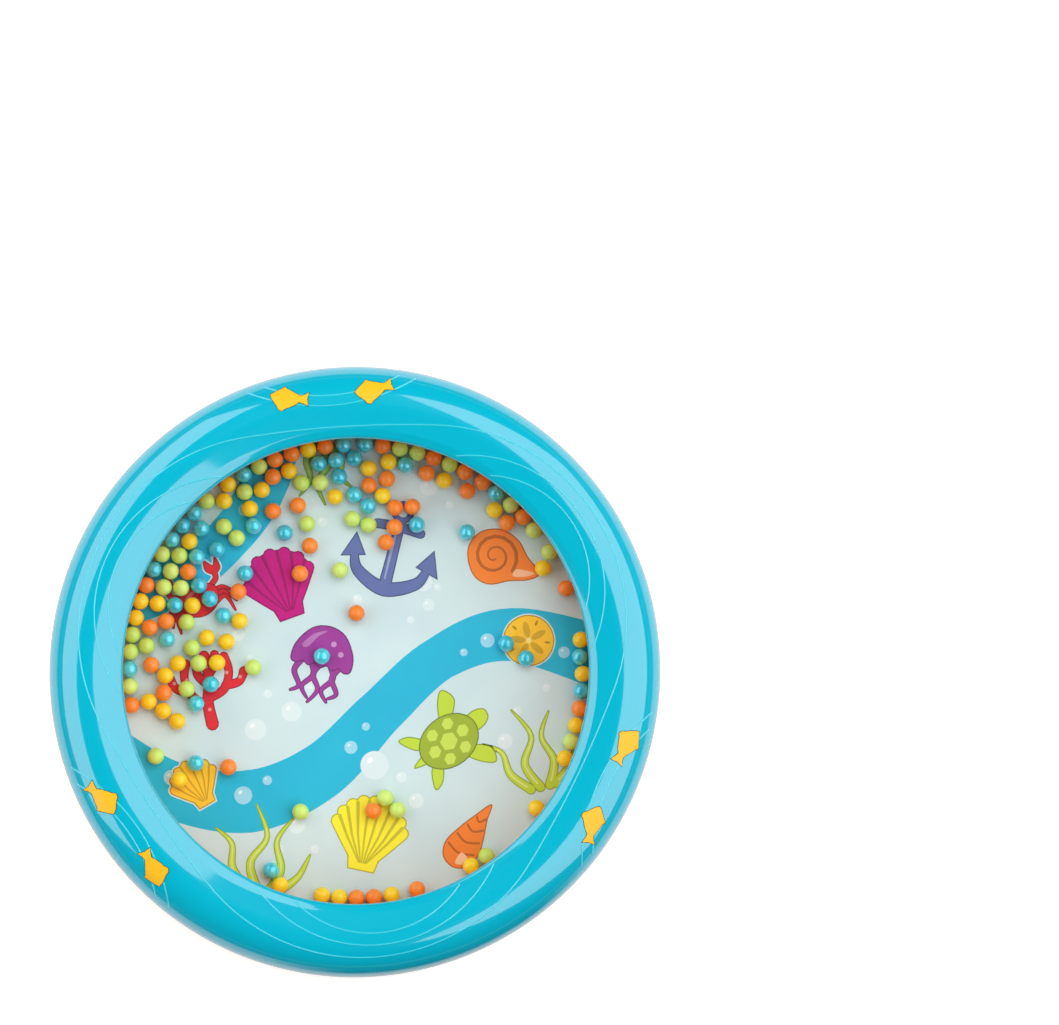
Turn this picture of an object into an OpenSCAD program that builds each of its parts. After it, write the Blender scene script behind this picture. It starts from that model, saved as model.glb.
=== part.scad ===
// Ocean drum: a flat round shaker. Loose beads roll on a printed rear head, seen through a
// clear front head. It lies on its rear rim, with the centre of its foot at the origin and +Z up.

/* [Drum] */
// Diameter of the round opening inside each rim's lip
window_d = 153.4; // [140:0.2:180]
// Width of the rear rim, from the opening to the drum's outer edge
rim_w = 25.3; // [23:0.1:32]
// Height from the table to the crest of the front rim's face
drum_h = 38; // [35:0.5:46]
// Thickness of each head
head_t = 0.8; // [0.5:0.1:1.2]

/* [Rims] */
// Wall thickness of the two moulded rims
rim_wall = 2; // [1.6:0.1:2.4]
// How far the rear rim stands out past the front rim at the joint
rear_lap = 0.4; // [0.1:0.1:0.8]
// Radius of the front rim's rounded outer shoulder
front_round = 13.3; // [11:0.1:14]
// Radius of the rear rim's rounded outer shoulder
rear_round = 9.5; // [8:0.5:11]
// Width of the flat ring that the drum stands on
foot_land = 5; // [4:0.5:6]
// Radius of the blend from the crest into the sloping face
crest_blend = 16; // [10:1:20]
// Inward fall of the sloping face, in degrees
face_slope = 10; // [7:1:13]
// Radius of the rounded edge of the lip
lip_round = 1.2; // [0.8:0.1:1.6]
// Height of the lip's straight edge, between its rounding and the head
lip_land = 0.9; // [0.5:0.1:1.5]
// How far each lip covers the edge of the bead chamber
lip_cover = 2.5; // [1:0.1:3]

/* [Bead chamber] */
// Wall thickness of the ring between the heads
chamber_t = 2.5; // [1.8:0.1:3]
// Diameter of a bead
bead_d = 5.6; // [5:0.1:5.8]
// Room under and over a bead, and between it and the wall
bead_gap = 0.2; // [0.1:0.05:0.3]

/* [Wave lines] */
// Width of a moulded line on the front rim's face
line_w = 0.5; // [0.4:0.05:0.7]
// Height of a line above the face
line_h = 0.2; // [0.1:0.05:0.3]
// Distance of the lines' outer ends inside the front rim's edge
line_in = 2.8; // [2:0.1:4]

/* [Rim fish] */
// Length of a fish from nose to tail
fish_l = 12.8; // [10:0.1:14]
// Distance of a fish's middle inside the front rim's edge
fish_in = 8.6; // [8:0.1:10]
// Depth of a fish's pocket below the rim's face
pocket_depth = 1.2; // [0.8:0.1:1.4]
// Height that a fish stands out of the rim's face
fish_proud = 0.3; // [0.1:0.1:0.6]
// Width of the groove left round a fish
fish_gap = 0.2; // [0.1:0.05:0.3]
// Angle between the two fish of a pair, in degrees
pair_deg = 17.3; // [16:0.1:22]

/* [Screws] */
// Diameter of a screw's shank
screw_d = 2.9; // [2.5:0.1:3.2]
// Length of a screw's shank
screw_l = 20; // [16:0.5:22]
// Diameter of a screw's head
screw_head_d = 5.6; // [5:0.1:6]
// Height of a screw's head
screw_head_h = 1.9; // [1.5:0.1:2.4]
// Depth of the counterbore from the foot to the screw's seat
counterbore_depth = 6; // [4:0.5:8]

/* [Hidden] */

// Colours
turquoise = [0.02, 0.68, 0.80];
golden = [0.96, 0.66, 0.16];
print_pale = [0.80, 0.87, 0.88];
window_clear = [0.90, 0.96, 0.98, 0.30];
screw_grey = [0.62, 0.63, 0.65];
bead_colours = [[0.97, 0.47, 0.18], [0.98, 0.78, 0.16], [0.72, 0.86, 0.35], [0.25, 0.72, 0.80]];

// Fineness of the curves
round_fn = 180;
small_fn = 48;
// How far a cut runs past what it cuts
overrun = 1;

// Radii shared by the rims, the heads and the chamber
lip_r = window_d / 2;
rear_r = lip_r + rim_w;
front_r = rear_r - rear_lap;
chamber_r = lip_r + lip_cover;
// Radial room round the heads and the chamber ring
seat_gap = 0.2;
seat_r = chamber_r + chamber_t + seat_gap;
head_r = chamber_r + chamber_t;
// Rib that centres a head and the chamber ring in its rim
rib_t = 1.8;
rib_h = 6;
hollow_r = seat_r + rib_t;

// The two rims meet halfway up
joint_z = drum_h / 2;
half_h = drum_h / 2;
// Tongue on the rear rim that enters the front rim's rebate
tongue_h = 1.6;
tongue_gap = 0.2;

// Radius at which each crest starts to fall towards the lip
front_land_r = front_r - front_round;
rear_land_r = rear_r - rear_round - foot_land;
// Depth below the crest of the sloping face at radius r
function face_drop(land_r, r) = crest_blend * (1 - cos(face_slope))
    + (land_r - crest_blend * sin(face_slope) - r) * tan(face_slope);
// Depth below the crest of the centre of the lip's rounding, and of the head's seat
function lip_drop(land_r) = face_drop(land_r, lip_r + lip_round) + lip_round / cos(face_slope);
function seat_drop(land_r) = lip_drop(land_r) + lip_land;
front_seat_z = drum_h - seat_drop(front_land_r);
rear_seat_z = seat_drop(rear_land_r);
chamber_low_z = rear_seat_z + head_t;
chamber_high_z = front_seat_z - head_t;

// Screw posts: place, angle of the first, number, and the post's wall
post_r = rear_land_r + foot_land / 2;
post_first = 35.5;
post_count = 6;
post_wall = 1.9;
shank_gap = 0.2;
head_gap = 0.3;
// How far a pilot hole runs on past the screw's tip
pilot_spare = 2;

// Fish pairs round the rim: number of pairs, and the middle of the first pair
pair_count = 3;
first_pair = 96;
// Turn of the first and the second fish of a pair about their middles
fish_turns = [17, -20.5];
// Outline of a fish as shares of its length, along and across, from the nose over the back
fish_shares = [[0.43, 0.02], [0.33, 0.1], [0.13, 0.23], [0.07, 0.28], [0.01, 0.22], [-0.14, 0.16],
    [-0.34, 0.07], [-0.44, 0.1], [-0.56, 0.18], [-0.53, 0], [-0.57, -0.17], [-0.42, -0.12],
    [-0.33, -0.1], [-0.24, -0.18], [-0.1, -0.26], [0.01, -0.31], [0.09, -0.38], [0.18, -0.35],
    [0.22, -0.27], [0.37, -0.1]];

// Wave lines: how many times the pattern repeats round the rim, the ray of the first arches, and
// the turns from it to the first troughs and to the first corner of the long closed line
wave_count = 3;
wave_first = 35.3;
trough_turn = 60;
corner_turn = -1.3;
// The lines end where the lip's rounding starts, and short of the rim's edge
line_low_r = lip_r + lip_round;
line_high_r = front_r - line_in;
// Arches: place of the crown as a share of the face from the lip outwards, and half spread in degrees
arch_shares = [[0.534, 30.1], [0.378, 20.5]];
// Troughs: place of the lowest point as a share of the face, and half spread in degrees
trough_shares = [[0.442, 16.5], [0.578, 13.2]];
// Long closed line of three rounded corners: place of a corner and of the middle of a side as
// shares of the face, and half spread of a corner about its own centre, in degrees
corner_share = 0.695;
side_share = 0.153;
corner_spread = 54.1;

// Places of the beads as shares of the chamber's radius, read from above
orange_shares = [[-0.14, 0.955], [-0.285, 0.92], [-0.357, 0.9], [-0.9, 0.365], [-0.362, 0.825],
    [-0.255, 0.7], [-0.36, 0.675], [-0.725, 0.415], [-0.81, 0.205], [-0.885, 0.187],
    [-0.505, 0.332], [-0.87, 0.022], [-0.203, 0.528], [-0.245, 0.41], [0.105, 0.957],
    [0.325, 0.907], [0.457, 0.848], [0.533, 0.802], [0.707, 0.655], [0.125, 0.817],
    [0.045, 0.787], [0.295, 0.843], [0.467, 0.764], [0.158, 0.693], [0.233, 0.696],
    [0.157, 0.609], [0.12, 0.543], [0.642, 0.63], [-0.955, -0.148], [-0.82, -0.095],
    [0, -0.967], [0.075, -0.965], [0.258, -0.933], [0.07, -0.596], [0.95, -0.165]];
yellow_shares = [[-0.213, 0.94], [-0.555, 0.79], [-0.925, 0.295], [-0.945, 0.225],
    [-0.293, 0.85], [-0.407, 0.768], [-0.57, 0.72], [-0.097, 0.738], [-0.458, 0.685],
    [-0.717, 0.548], [-0.855, 0.283], [-0.7, 0.273], [-0.5, 0.208], [-0.637, 0.137],
    [-0.553, 0.12], [-0.76, 0.027], [-0.593, 0.03], [0.792, 0.435], [0.955, 0.128],
    [0.13, 0.888], [0.043, 0.86], [0.37, 0.812], [0.107, 0.742], [0.587, 0.685],
    [-0.81, -0.025], [-0.887, -0.135], [-0.82, -0.172], [-0.76, -0.215], [-0.75, -0.462],
    [-0.325, -0.912], [-0.145, -0.957], [-0.072, -0.965], [0.15, -0.957], [0.487, -0.833],
    [0.89, -0.377], [0.932, -0.236], [0.963, -0.017]];
lime_shares = [[-0.42, 0.87], [-0.643, 0.722], [-0.835, 0.495], [-0.963, 0.152], [-0.97, 0.08],
    [-0.48, 0.757], [-0.243, 0.799], [-0.16, 0.798], [-0.215, 0.622], [-0.568, 0.608],
    [-0.513, 0.56], [-0.765, 0.49], [-0.8, 0.42], [-0.827, 0.352], [-0.753, 0.348],
    [-0.722, 0.202], [-0.9, 0.1], [-0.7, 0.095], [-0.67, 0.028], [-0.022, 0.643],
    [0.18, 0.947], [0.255, 0.931], [0.39, 0.88], [0.655, 0.708], [0.75, 0.6], [0.82, 0.505],
    [0.045, 0.618], [-0.97, -0.068], [-0.72, -0.08], [-0.848, -0.363], [0.552, -0.79],
    [0.123, -0.544], [0.171, -0.59], [0.912, -0.304]];
blue_shares = [[-0.06, 0.96], [0.032, 0.962], [-0.167, 0.88], [-0.092, 0.897], [-0.015, 0.907],
    [-0.08, 0.825], [-0.485, 0.833], [-0.695, 0.667], [-0.745, 0.61], [-0.79, 0.555],
    [-0.87, 0.432], [-0.97, 0.01], [-0.443, 0.612], [-0.31, 0.583], [-0.663, 0.6],
    [-0.597, 0.512], [-0.685, 0.48], [-0.673, 0.36], [-0.627, 0.303], [-0.78, 0.275],
    [-0.567, 0.23], [-0.805, 0.13], [-0.477, 0.41], [-0.013, 0.748], [0.045, 0.7],
    [0.205, 0.88], [0.592, 0.757], [0.252, 0.62], [0.635, 0.113], [0.72, 0.05], [0.95, 0.055],
    [0.958, -0.087], [-0.68, -0.143], [-0.618, -0.06], [-0.68, -0.393], [-0.36, -0.848]];
// Beads that lie by themselves, with room to roll, and their colours in bead_colours
loose_shares = [[-0.004, 0.242], [-0.44, 0.011], [-0.075, 0.424], [-0.15, 0.059],
    [-0.542, -0.41], [0.467, 0.588], [-0.237, -0.599], [0.768, -0.59]];
loose_colours = [0, 2, 2, 3, 0, 3, 2, 1];
loose_beads = [for (i = [0 : len(loose_shares) - 1]) str("loose_bead_", i + 1)];

// Beads that are read a little too near are moved apart, and none is left inside the wall
bead_pitch = bead_d + bead_gap;
bead_reach = chamber_r - bead_d / 2 - bead_gap;
settle_count = 24;
function total(list) = len(list) == 0 ? [0, 0] : [for (v = list) 1] * list;
function nearby(places) = [for (i = [0 : len(places) - 1])
    [for (j = [0 : len(places) - 1]) if (i != j && norm(places[i] - places[j]) < 2 * bead_pitch) j]];
function push(here, there) = let (away = here - there, apart = norm(away))
    apart < bead_pitch ? away / apart * (bead_pitch - apart) / 2 : [0, 0];
function inside(place) = norm(place) > bead_reach ? place * bead_reach / norm(place) : place;
function settle(places, near, count) = count < 1 ? places : settle(
    [for (i = [0 : len(places) - 1])
        inside(places[i] + total([for (j = near[i]) push(places[i], places[j])]))],
    near, count - 1);
read_places = chamber_r * concat(orange_shares, yellow_shares, lime_shares, blue_shares, loose_shares);
bead_places = settle([for (place = read_places) inside(place)], nearby(read_places), settle_count);
bead_z = chamber_low_z + bead_gap + bead_d / 2;
// Number of the first bead of each group in bead_places
yellow_first = len(orange_shares);
lime_first = yellow_first + len(yellow_shares);
blue_first = lime_first + len(lime_shares);
loose_first = blue_first + len(blue_shares);

// Points of a closed outline moved outwards by gap, with the outline running counterclockwise
function outward(from, to) = let (along = (to - from) / norm(to - from)) [along.y, -along.x];
function grown(points, gap) = [for (i = [0 : len(points) - 1])
    let (count = len(points), here = points[i],
        before = outward(points[(i + count - 1) % count], here),
        after = outward(here, points[(i + 1) % count]))
    here + (before + after) * gap / (1 + before * after)];

// Half a rim's section above the joint, with its outer faces moved inwards by inset
module rim_outline(outer_r, round_r, land_r, inset) {
    shoulder = [outer_r - round_r, half_h - round_r];
    blend = [land_r, half_h - crest_blend];
    fall = [-sin(face_slope), cos(face_slope)];
    blend_end = blend + (crest_blend - inset) * fall;
    difference() {
        polygon([[lip_r, 0], [outer_r - inset, 0], [outer_r - inset, half_h - inset],
            [land_r - (crest_blend - inset) * tan(face_slope / 2), half_h - inset],
            [lip_r, blend_end.y - (blend_end.x - lip_r) * tan(face_slope)]]);
        difference() {
            translate(shoulder) square(2 * round_r);
            translate(shoulder) circle(r = round_r - inset, $fn = round_fn);
        }
        difference() {
            polygon([blend, blend + [0, 2 * crest_blend], blend + 2 * crest_blend * fall]);
            translate(blend) circle(r = crest_blend - inset, $fn = round_fn);
        }
    }
}

// Corner that is cut away to round the lip's edge
module lip_corner(land_r) {
    centre = [lip_r + lip_round, half_h - lip_drop(land_r)];
    difference() {
        polygon([centre, [lip_r - overrun, centre.y], [lip_r - overrun, centre.y + 2 * lip_round],
            centre + 2 * lip_round * [-sin(face_slope), cos(face_slope)]]);
        translate(centre) circle(r = lip_round, $fn = small_fn);
    }
}

// Half a rim as a hollow moulding: shoulder, sloping face, lip, head seat and centring rib
module rim_shell(outer_r, round_r, land_r) {
    seat_z = half_h - seat_drop(land_r);
    rotate_extrude($fn = round_fn) difference() {
        rim_outline(outer_r, round_r, land_r, 0);
        intersection() {
            rim_outline(outer_r, round_r, land_r, rim_wall);
            translate([hollow_r, 0]) square([outer_r, half_h]);
        }
        translate([0, -overrun]) square([seat_r, seat_z + overrun]);
        translate([0, -overrun]) square([hollow_r, seat_z - rib_h + overrun]);
        lip_corner(land_r);
    }
}

// Repeats a shape at every screw post
module at_posts() {
    for (i = [0 : post_count - 1])
        rotate([0, 0, post_first + i * 360 / post_count]) translate([post_r, 0, 0]) children();
}

// Solid posts from the joint up into the rim's shell
module posts(outer_r, round_r, land_r) {
    intersection() {
        at_posts() cylinder(r = screw_d / 2 + shank_gap + post_wall, h = half_h, $fn = small_fn);
        rotate_extrude($fn = round_fn) rim_outline(outer_r, round_r, land_r, rim_wall / 2);
    }
}

// Fish outline in the rim's plan, moved outwards by gap, for the fish numbered from 0
module fish_plan(number, gap) {
    side = number % 2;
    angle = first_pair + floor(number / 2) * 360 / pair_count + (side - 0.5) * pair_deg;
    rotate([0, 0, angle]) translate([front_r - fish_in, 0, 0]) rotate([0, 0, fish_turns[side]])
        linear_extrude(height = drum_h + 2 * overrun)
        polygon([for (p = grown(fish_l * fish_shares, gap)) [p.y, p.x]]);
}

// Solid ring under the front rim's face, with its outer faces moved inwards by inset
module face_core(inset) {
    translate([0, 0, joint_z]) rotate_extrude($fn = round_fn)
        rim_outline(front_r, front_round, front_land_r, inset);
}

// What is left of a shape over the face moved inwards by inset
module above_core(inset) {
    difference() {
        children();
        face_core(inset);
    }
}

// Radius of a place on the front rim's face, as a share from the lip to the edge
function face_r(share) = lip_r + share * (front_r - lip_r);
// Distance from the axis of the centre of an arc whose middle lies at middle_r on a ray, and whose
// ends lie at end_r, spread to both sides of the ray
function arc_centre(middle_r, end_r, spread) =
    (pow(middle_r, 2) - pow(end_r, 2)) / (2 * (middle_r - end_r * cos(spread)));

// Upright band along an arc about a centre on a ray, spread to both sides of the arc's middle
module band(ray, middle_r, centre_r, spread) {
    rotate([0, 0, ray]) translate([centre_r, 0, 0])
        rotate([0, 0, centre_r > middle_r ? 180 - spread : -spread])
        rotate_extrude(angle = 2 * spread, $fn = round_fn)
        translate([abs(middle_r - centre_r) - line_w / 2, 0]) square([line_w, drum_h + overrun]);
}

// Moulded lines like waves on the front rim: arches, troughs and one long closed line
module wave_lines() {
    pitch = 360 / wave_count;
    side_spread = pitch / 2 - corner_spread;
    centres_apart = (face_r(corner_share) - face_r(side_share))
        / ((sin(corner_spread) + sin(side_spread)) / sin(pitch) - 1);
    corner_centre = centres_apart * sin(side_spread) / sin(pitch);
    side_centre = -centres_apart * sin(corner_spread) / sin(pitch);
    above_core(rim_wall / 2) intersection() {
        face_core(-line_h);
        difference() {
            cylinder(r = line_high_r, h = drum_h + overrun, $fn = round_fn);
            translate([0, 0, -overrun]) cylinder(r = line_low_r, h = drum_h + 3 * overrun, $fn = round_fn);
        }
        for (i = [0 : wave_count - 1]) rotate([0, 0, wave_first + i * pitch]) {
            for (arch = arch_shares)
                band(0, face_r(arch[0]), arc_centre(face_r(arch[0]), line_low_r, arch[1]), 180);
            for (trough = trough_shares)
                band(trough_turn, face_r(trough[0]),
                    arc_centre(face_r(trough[0]), line_high_r, trough[1]), 180);
            band(corner_turn, face_r(corner_share), corner_centre, corner_spread);
            band(corner_turn + pitch / 2, face_r(side_share), side_centre, side_spread);
        }
    }
}

module front_rim() {
    pilot_top = counterbore_depth + screw_l + pilot_spare - joint_z;
    color(turquoise) difference() {
        union() {
            translate([0, 0, joint_z]) {
                rim_shell(front_r, front_round, front_land_r);
                posts(front_r, front_round, front_land_r);
            }
            wave_lines();
        }
        translate([0, 0, joint_z - overrun]) {
            at_posts() cylinder(d = screw_d + shank_gap, h = pilot_top + overrun, $fn = small_fn);
            difference() {
                cylinder(r = front_r - rim_wall / 2, h = tongue_h + tongue_gap + overrun, $fn = round_fn);
                translate([0, 0, -overrun])
                    cylinder(r = front_r - rim_wall - overrun, h = drum_h, $fn = round_fn);
            }
        }
        above_core(pocket_depth)
            for (i = [0 : 2 * pair_count - 1]) fish_plan(i, fish_gap);
    }
}

module rear_rim() {
    color(golden) translate([0, 0, joint_z]) mirror([0, 0, 1]) {
        difference() {
            union() {
                rim_shell(rear_r, rear_round, rear_land_r);
                posts(rear_r, rear_round, rear_land_r);
            }
            at_posts() translate([0, 0, -overrun])
                cylinder(d = screw_d + 2 * shank_gap, h = half_h + 2 * overrun, $fn = small_fn);
            at_posts() translate([0, 0, half_h - counterbore_depth])
                cylinder(d = screw_head_d + 2 * head_gap, h = half_h, $fn = small_fn);
        }
        translate([0, 0, -tongue_h]) difference() {
            cylinder(r = front_r - rim_wall / 2 - tongue_gap, h = 2 * tongue_h, $fn = round_fn);
            translate([0, 0, -overrun])
                cylinder(r = front_r - rim_wall, h = 2 * tongue_h + 2 * overrun, $fn = round_fn);
        }
    }
}

module chamber_wall() {
    color(golden) translate([0, 0, chamber_low_z]) difference() {
        cylinder(r = chamber_r + chamber_t, h = chamber_high_z - chamber_low_z, $fn = round_fn);
        translate([0, 0, -overrun])
            cylinder(r = chamber_r, h = drum_h + 2 * overrun, $fn = round_fn);
    }
}

module front_head() {
    color(window_clear) translate([0, 0, chamber_high_z]) cylinder(r = head_r, h = head_t, $fn = round_fn);
}

module rear_head() {
    color(print_pale) translate([0, 0, rear_seat_z]) cylinder(r = head_r, h = head_t, $fn = round_fn);
}

module rim_screws() {
    color(screw_grey) at_posts() {
        translate([0, 0, counterbore_depth]) cylinder(d = screw_d, h = screw_l, $fn = small_fn);
        translate([0, 0, counterbore_depth - screw_head_h])
            cylinder(d = screw_head_d, h = screw_head_h, $fn = small_fn);
    }
}

module rim_fish(number) {
    color(golden) above_core(pocket_depth) intersection() {
        face_core(-fish_proud);
        fish_plan(number, 0);
    }
}

// Beads from bead_places, from number first up to number last
module beads(first, last, colour) {
    color(bead_colours[colour]) for (i = [first : last])
        translate([bead_places[i].x, bead_places[i].y, bead_z]) sphere(d = bead_d, $fn = small_fn);
}

front_rim();
rear_rim();
chamber_wall();
front_head();
rear_head();
rim_screws();
for (i = [0 : 2 * pair_count - 1])
    rim_fish(i);
beads(0, yellow_first - 1, 0);  // orange_beads
beads(yellow_first, lime_first - 1, 1);  // yellow_beads
beads(lime_first, blue_first - 1, 2);  // lime_beads
beads(blue_first, loose_first - 1, 3);  // blue_beads
for (i = [0 : len(loose_beads) - 1])
    beads(loose_first + i, loose_first + i, loose_colours[i]);
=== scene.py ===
import math
import random

import bmesh
import bpy
from mathutils import Matrix, Vector
from mathutils.geometry import intersect_line_line_2d, intersect_line_sphere_2d


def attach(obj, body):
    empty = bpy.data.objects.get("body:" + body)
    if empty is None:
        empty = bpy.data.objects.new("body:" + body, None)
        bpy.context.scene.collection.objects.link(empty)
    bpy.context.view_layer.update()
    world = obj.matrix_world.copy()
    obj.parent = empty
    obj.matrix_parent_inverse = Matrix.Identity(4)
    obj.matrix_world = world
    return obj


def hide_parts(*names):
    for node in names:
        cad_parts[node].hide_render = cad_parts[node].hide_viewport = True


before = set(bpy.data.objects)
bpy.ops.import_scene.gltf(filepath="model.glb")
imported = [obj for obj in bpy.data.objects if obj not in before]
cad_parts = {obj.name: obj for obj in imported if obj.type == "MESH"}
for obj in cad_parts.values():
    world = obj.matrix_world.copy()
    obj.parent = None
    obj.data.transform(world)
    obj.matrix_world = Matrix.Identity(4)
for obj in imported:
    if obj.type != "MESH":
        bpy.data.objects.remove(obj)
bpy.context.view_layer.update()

# Driving sizes, in metres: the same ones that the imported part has
MM = 0.001
WINDOW_R = 76.7 * MM
RIM_W = 25.3 * MM
DRUM_H = 38 * MM
HEAD_T = 0.8 * MM
RIM_WALL = 2 * MM
REAR_LAP = 0.4 * MM
FRONT_ROUND = 13.3 * MM
REAR_ROUND = 9.5 * MM
FOOT_LAND = 5 * MM
CREST_BLEND = 16 * MM
FACE_SLOPE = math.radians(10)
LIP_ROUND = 1.2 * MM
LIP_LAND = 0.9 * MM
LIP_COVER = 2.5 * MM
CHAMBER_T = 2.5 * MM
SEAT_GAP = 0.2 * MM
RIB_T = 1.8 * MM
RIB_H = 6 * MM
TONGUE_H = 1.6 * MM
TONGUE_GAP = 0.2 * MM
BEAD_R = 2.8 * MM
SCREW_R = 1.45 * MM
SCREW_L = 20 * MM
SCREW_HEAD_R = 2.8 * MM
SCREW_HEAD_H = 1.9 * MM
COUNTERBORE_DEPTH = 6 * MM

# Sizes that only the scene has: a steeper band and a wider rounding next to the window
LIP_EASE = 1.6 * MM
LIP_BEVEL = 3 * MM
BEVEL_SLOPE = math.radians(24)
BEVEL_CREASE = 0.15 * MM

# Sizes that follow from both
HALF_H = DRUM_H / 2
JOINT_Z = DRUM_H / 2
REAR_R = WINDOW_R + RIM_W
FRONT_R = REAR_R - REAR_LAP
CHAMBER_R = WINDOW_R + LIP_COVER
HEAD_R = CHAMBER_R + CHAMBER_T
SEAT_R = HEAD_R + SEAT_GAP
HOLLOW_R = SEAT_R + RIB_T
BEVEL_R = WINDOW_R + LIP_BEVEL
FRONT_LAND_R = FRONT_R - FRONT_ROUND
REAR_LAND_R = REAR_R - REAR_ROUND - FOOT_LAND

# Steps round the drum, and the angle from which an edge stays sharp
ROUND_STEPS = 288
SHARP_DEG = 32


def face_drop(land_r, r):
    """Depth of a rim's sloping face below its crest, at radius r."""
    return (CREST_BLEND * (1 - math.cos(FACE_SLOPE))
            + (land_r - CREST_BLEND * math.sin(FACE_SLOPE) - r) * math.tan(FACE_SLOPE))


def lip_drop(land_r):
    """Depth of the centre of the lip's rounding below the crest."""
    return face_drop(land_r, WINDOW_R + LIP_ROUND) + LIP_ROUND / math.cos(FACE_SLOPE)


def bevel_drop(land_r, r):
    """Depth of the steeper band next to the window below the crest, at radius r."""
    return face_drop(land_r, BEVEL_R) + (BEVEL_R - r) * math.tan(BEVEL_SLOPE)


def face_z(r):
    """Height of the front rim's face at radius r."""
    if r < BEVEL_R:
        return DRUM_H - bevel_drop(FRONT_LAND_R, r)
    if r > FRONT_LAND_R:
        across = min(r - FRONT_LAND_R, FRONT_ROUND)
        return DRUM_H - FRONT_ROUND + math.sqrt(FRONT_ROUND ** 2 - across ** 2)
    if r > FRONT_LAND_R - CREST_BLEND * math.sin(FACE_SLOPE):
        return DRUM_H - CREST_BLEND + math.sqrt(CREST_BLEND ** 2 - (FRONT_LAND_R - r) ** 2)
    return DRUM_H - face_drop(FRONT_LAND_R, r)


# Node helpers

def linear(r, g, b):
    """A colour that is written as it shows on a screen, from 0 to 255, in scene values."""
    def channel(v):
        v = v / 255
        return v / 12.92 if v <= 0.04045 else ((v + 0.055) / 1.055) ** 2.4
    return (channel(r), channel(g), channel(b), 1.0)


class Nodes:
    """A node tree with short calls to add nodes and link them."""

    def __init__(self, tree):
        self.tree = tree

    def add(self, kind, **settings):
        node = self.tree.nodes.new("ShaderNode" + kind)
        for key, value in settings.items():
            setattr(node, key, value)
        return node

    def link(self, source, target):
        self.tree.links.new(source, target)

    def maths(self, operation, a, b=None):
        node = self.add("Math", operation=operation)
        for socket, value in zip(node.inputs, (a, b)):
            if isinstance(value, bpy.types.NodeSocket):
                self.link(value, socket)
            elif value is not None:
                socket.default_value = value
        return node.outputs[0]

    def noise(self, vector, scale, detail=2.0, roughness=0.5):
        node = self.add("TexNoise")
        node.inputs["Scale"].default_value = scale
        node.inputs["Detail"].default_value = detail
        node.inputs["Roughness"].default_value = roughness
        self.link(vector, node.inputs["Vector"])
        return node.outputs["Fac"]

    def spread(self, value, low, high, to_low=0.0, to_high=1.0):
        node = self.add("MapRange")
        self.link(value, node.inputs["Value"])
        for name, number in (("From Min", low), ("From Max", high),
                             ("To Min", to_low), ("To Max", to_high)):
            node.inputs[name].default_value = number
        return node.outputs["Result"]

    def mix(self, factor, a, b, blend_type="MIX"):
        node = self.add("Mix", data_type="RGBA", blend_type=blend_type)
        # Sockets 6 and 7 are the two colours, and output 2 is the mixed one
        for socket, value in ((node.inputs["Factor"], factor), (node.inputs[6], a), (node.inputs[7], b)):
            if isinstance(value, bpy.types.NodeSocket):
                self.link(value, socket)
            else:
                socket.default_value = value
        return node.outputs[2]


def shader_group(name, inputs, outputs):
    """An empty node group with float or colour sockets. Returns the group and its two ends."""
    group = bpy.data.node_groups.new(name, "ShaderNodeTree")
    for socket, kind, value in inputs:
        made = group.interface.new_socket(socket, in_out="INPUT", socket_type="NodeSocket" + kind)
        made.default_value = value
    for socket, kind in outputs:
        group.interface.new_socket(socket, in_out="OUTPUT", socket_type="NodeSocket" + kind)
    entry = group.nodes.new("NodeGroupInput")
    leave = group.nodes.new("NodeGroupOutput")
    return group, entry, leave


def moulded_finish_group():
    """Moulded plastic: slow drift of tone, faint flow, fine pitting and the marks of handling."""
    group, entry, leave = shader_group(
        "moulded finish",
        [("Color", "Color", (0.5, 0.5, 0.5, 1)), ("Drift", "Float", 0.06), ("Pitting", "Float", 1.0),
         ("Roughness", "Float", 0.2), ("Handling", "Float", 0.05)],
        [("Color", "Color"), ("Roughness", "Float"), ("Height", "Float")])
    n = Nodes(group)
    place = n.add("TexCoord").outputs["Object"]
    slow = n.noise(place, 28, 3)
    fine = n.noise(place, 1400, 2)
    peel = n.noise(place, 260, 1)
    streaks = n.noise(place, 90, 6, 0.7)
    darker = n.mix(1.0, entry.outputs["Color"], (0.72, 0.80, 0.86, 1), "MULTIPLY")
    drift = n.maths("MULTIPLY", n.spread(slow, 0.35, 0.7), entry.outputs["Drift"])
    n.link(n.mix(drift, entry.outputs["Color"], darker), leave.inputs["Color"])
    marks = n.maths("MULTIPLY", n.spread(streaks, 0.45, 0.75), entry.outputs["Handling"])
    n.link(n.maths("ADD", entry.outputs["Roughness"], marks), leave.inputs["Roughness"])
    relief = n.maths("ADD", n.maths("MULTIPLY", fine, 0.35), peel)
    n.link(n.maths("MULTIPLY", relief, entry.outputs["Pitting"]), leave.inputs["Height"])
    return group


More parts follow.
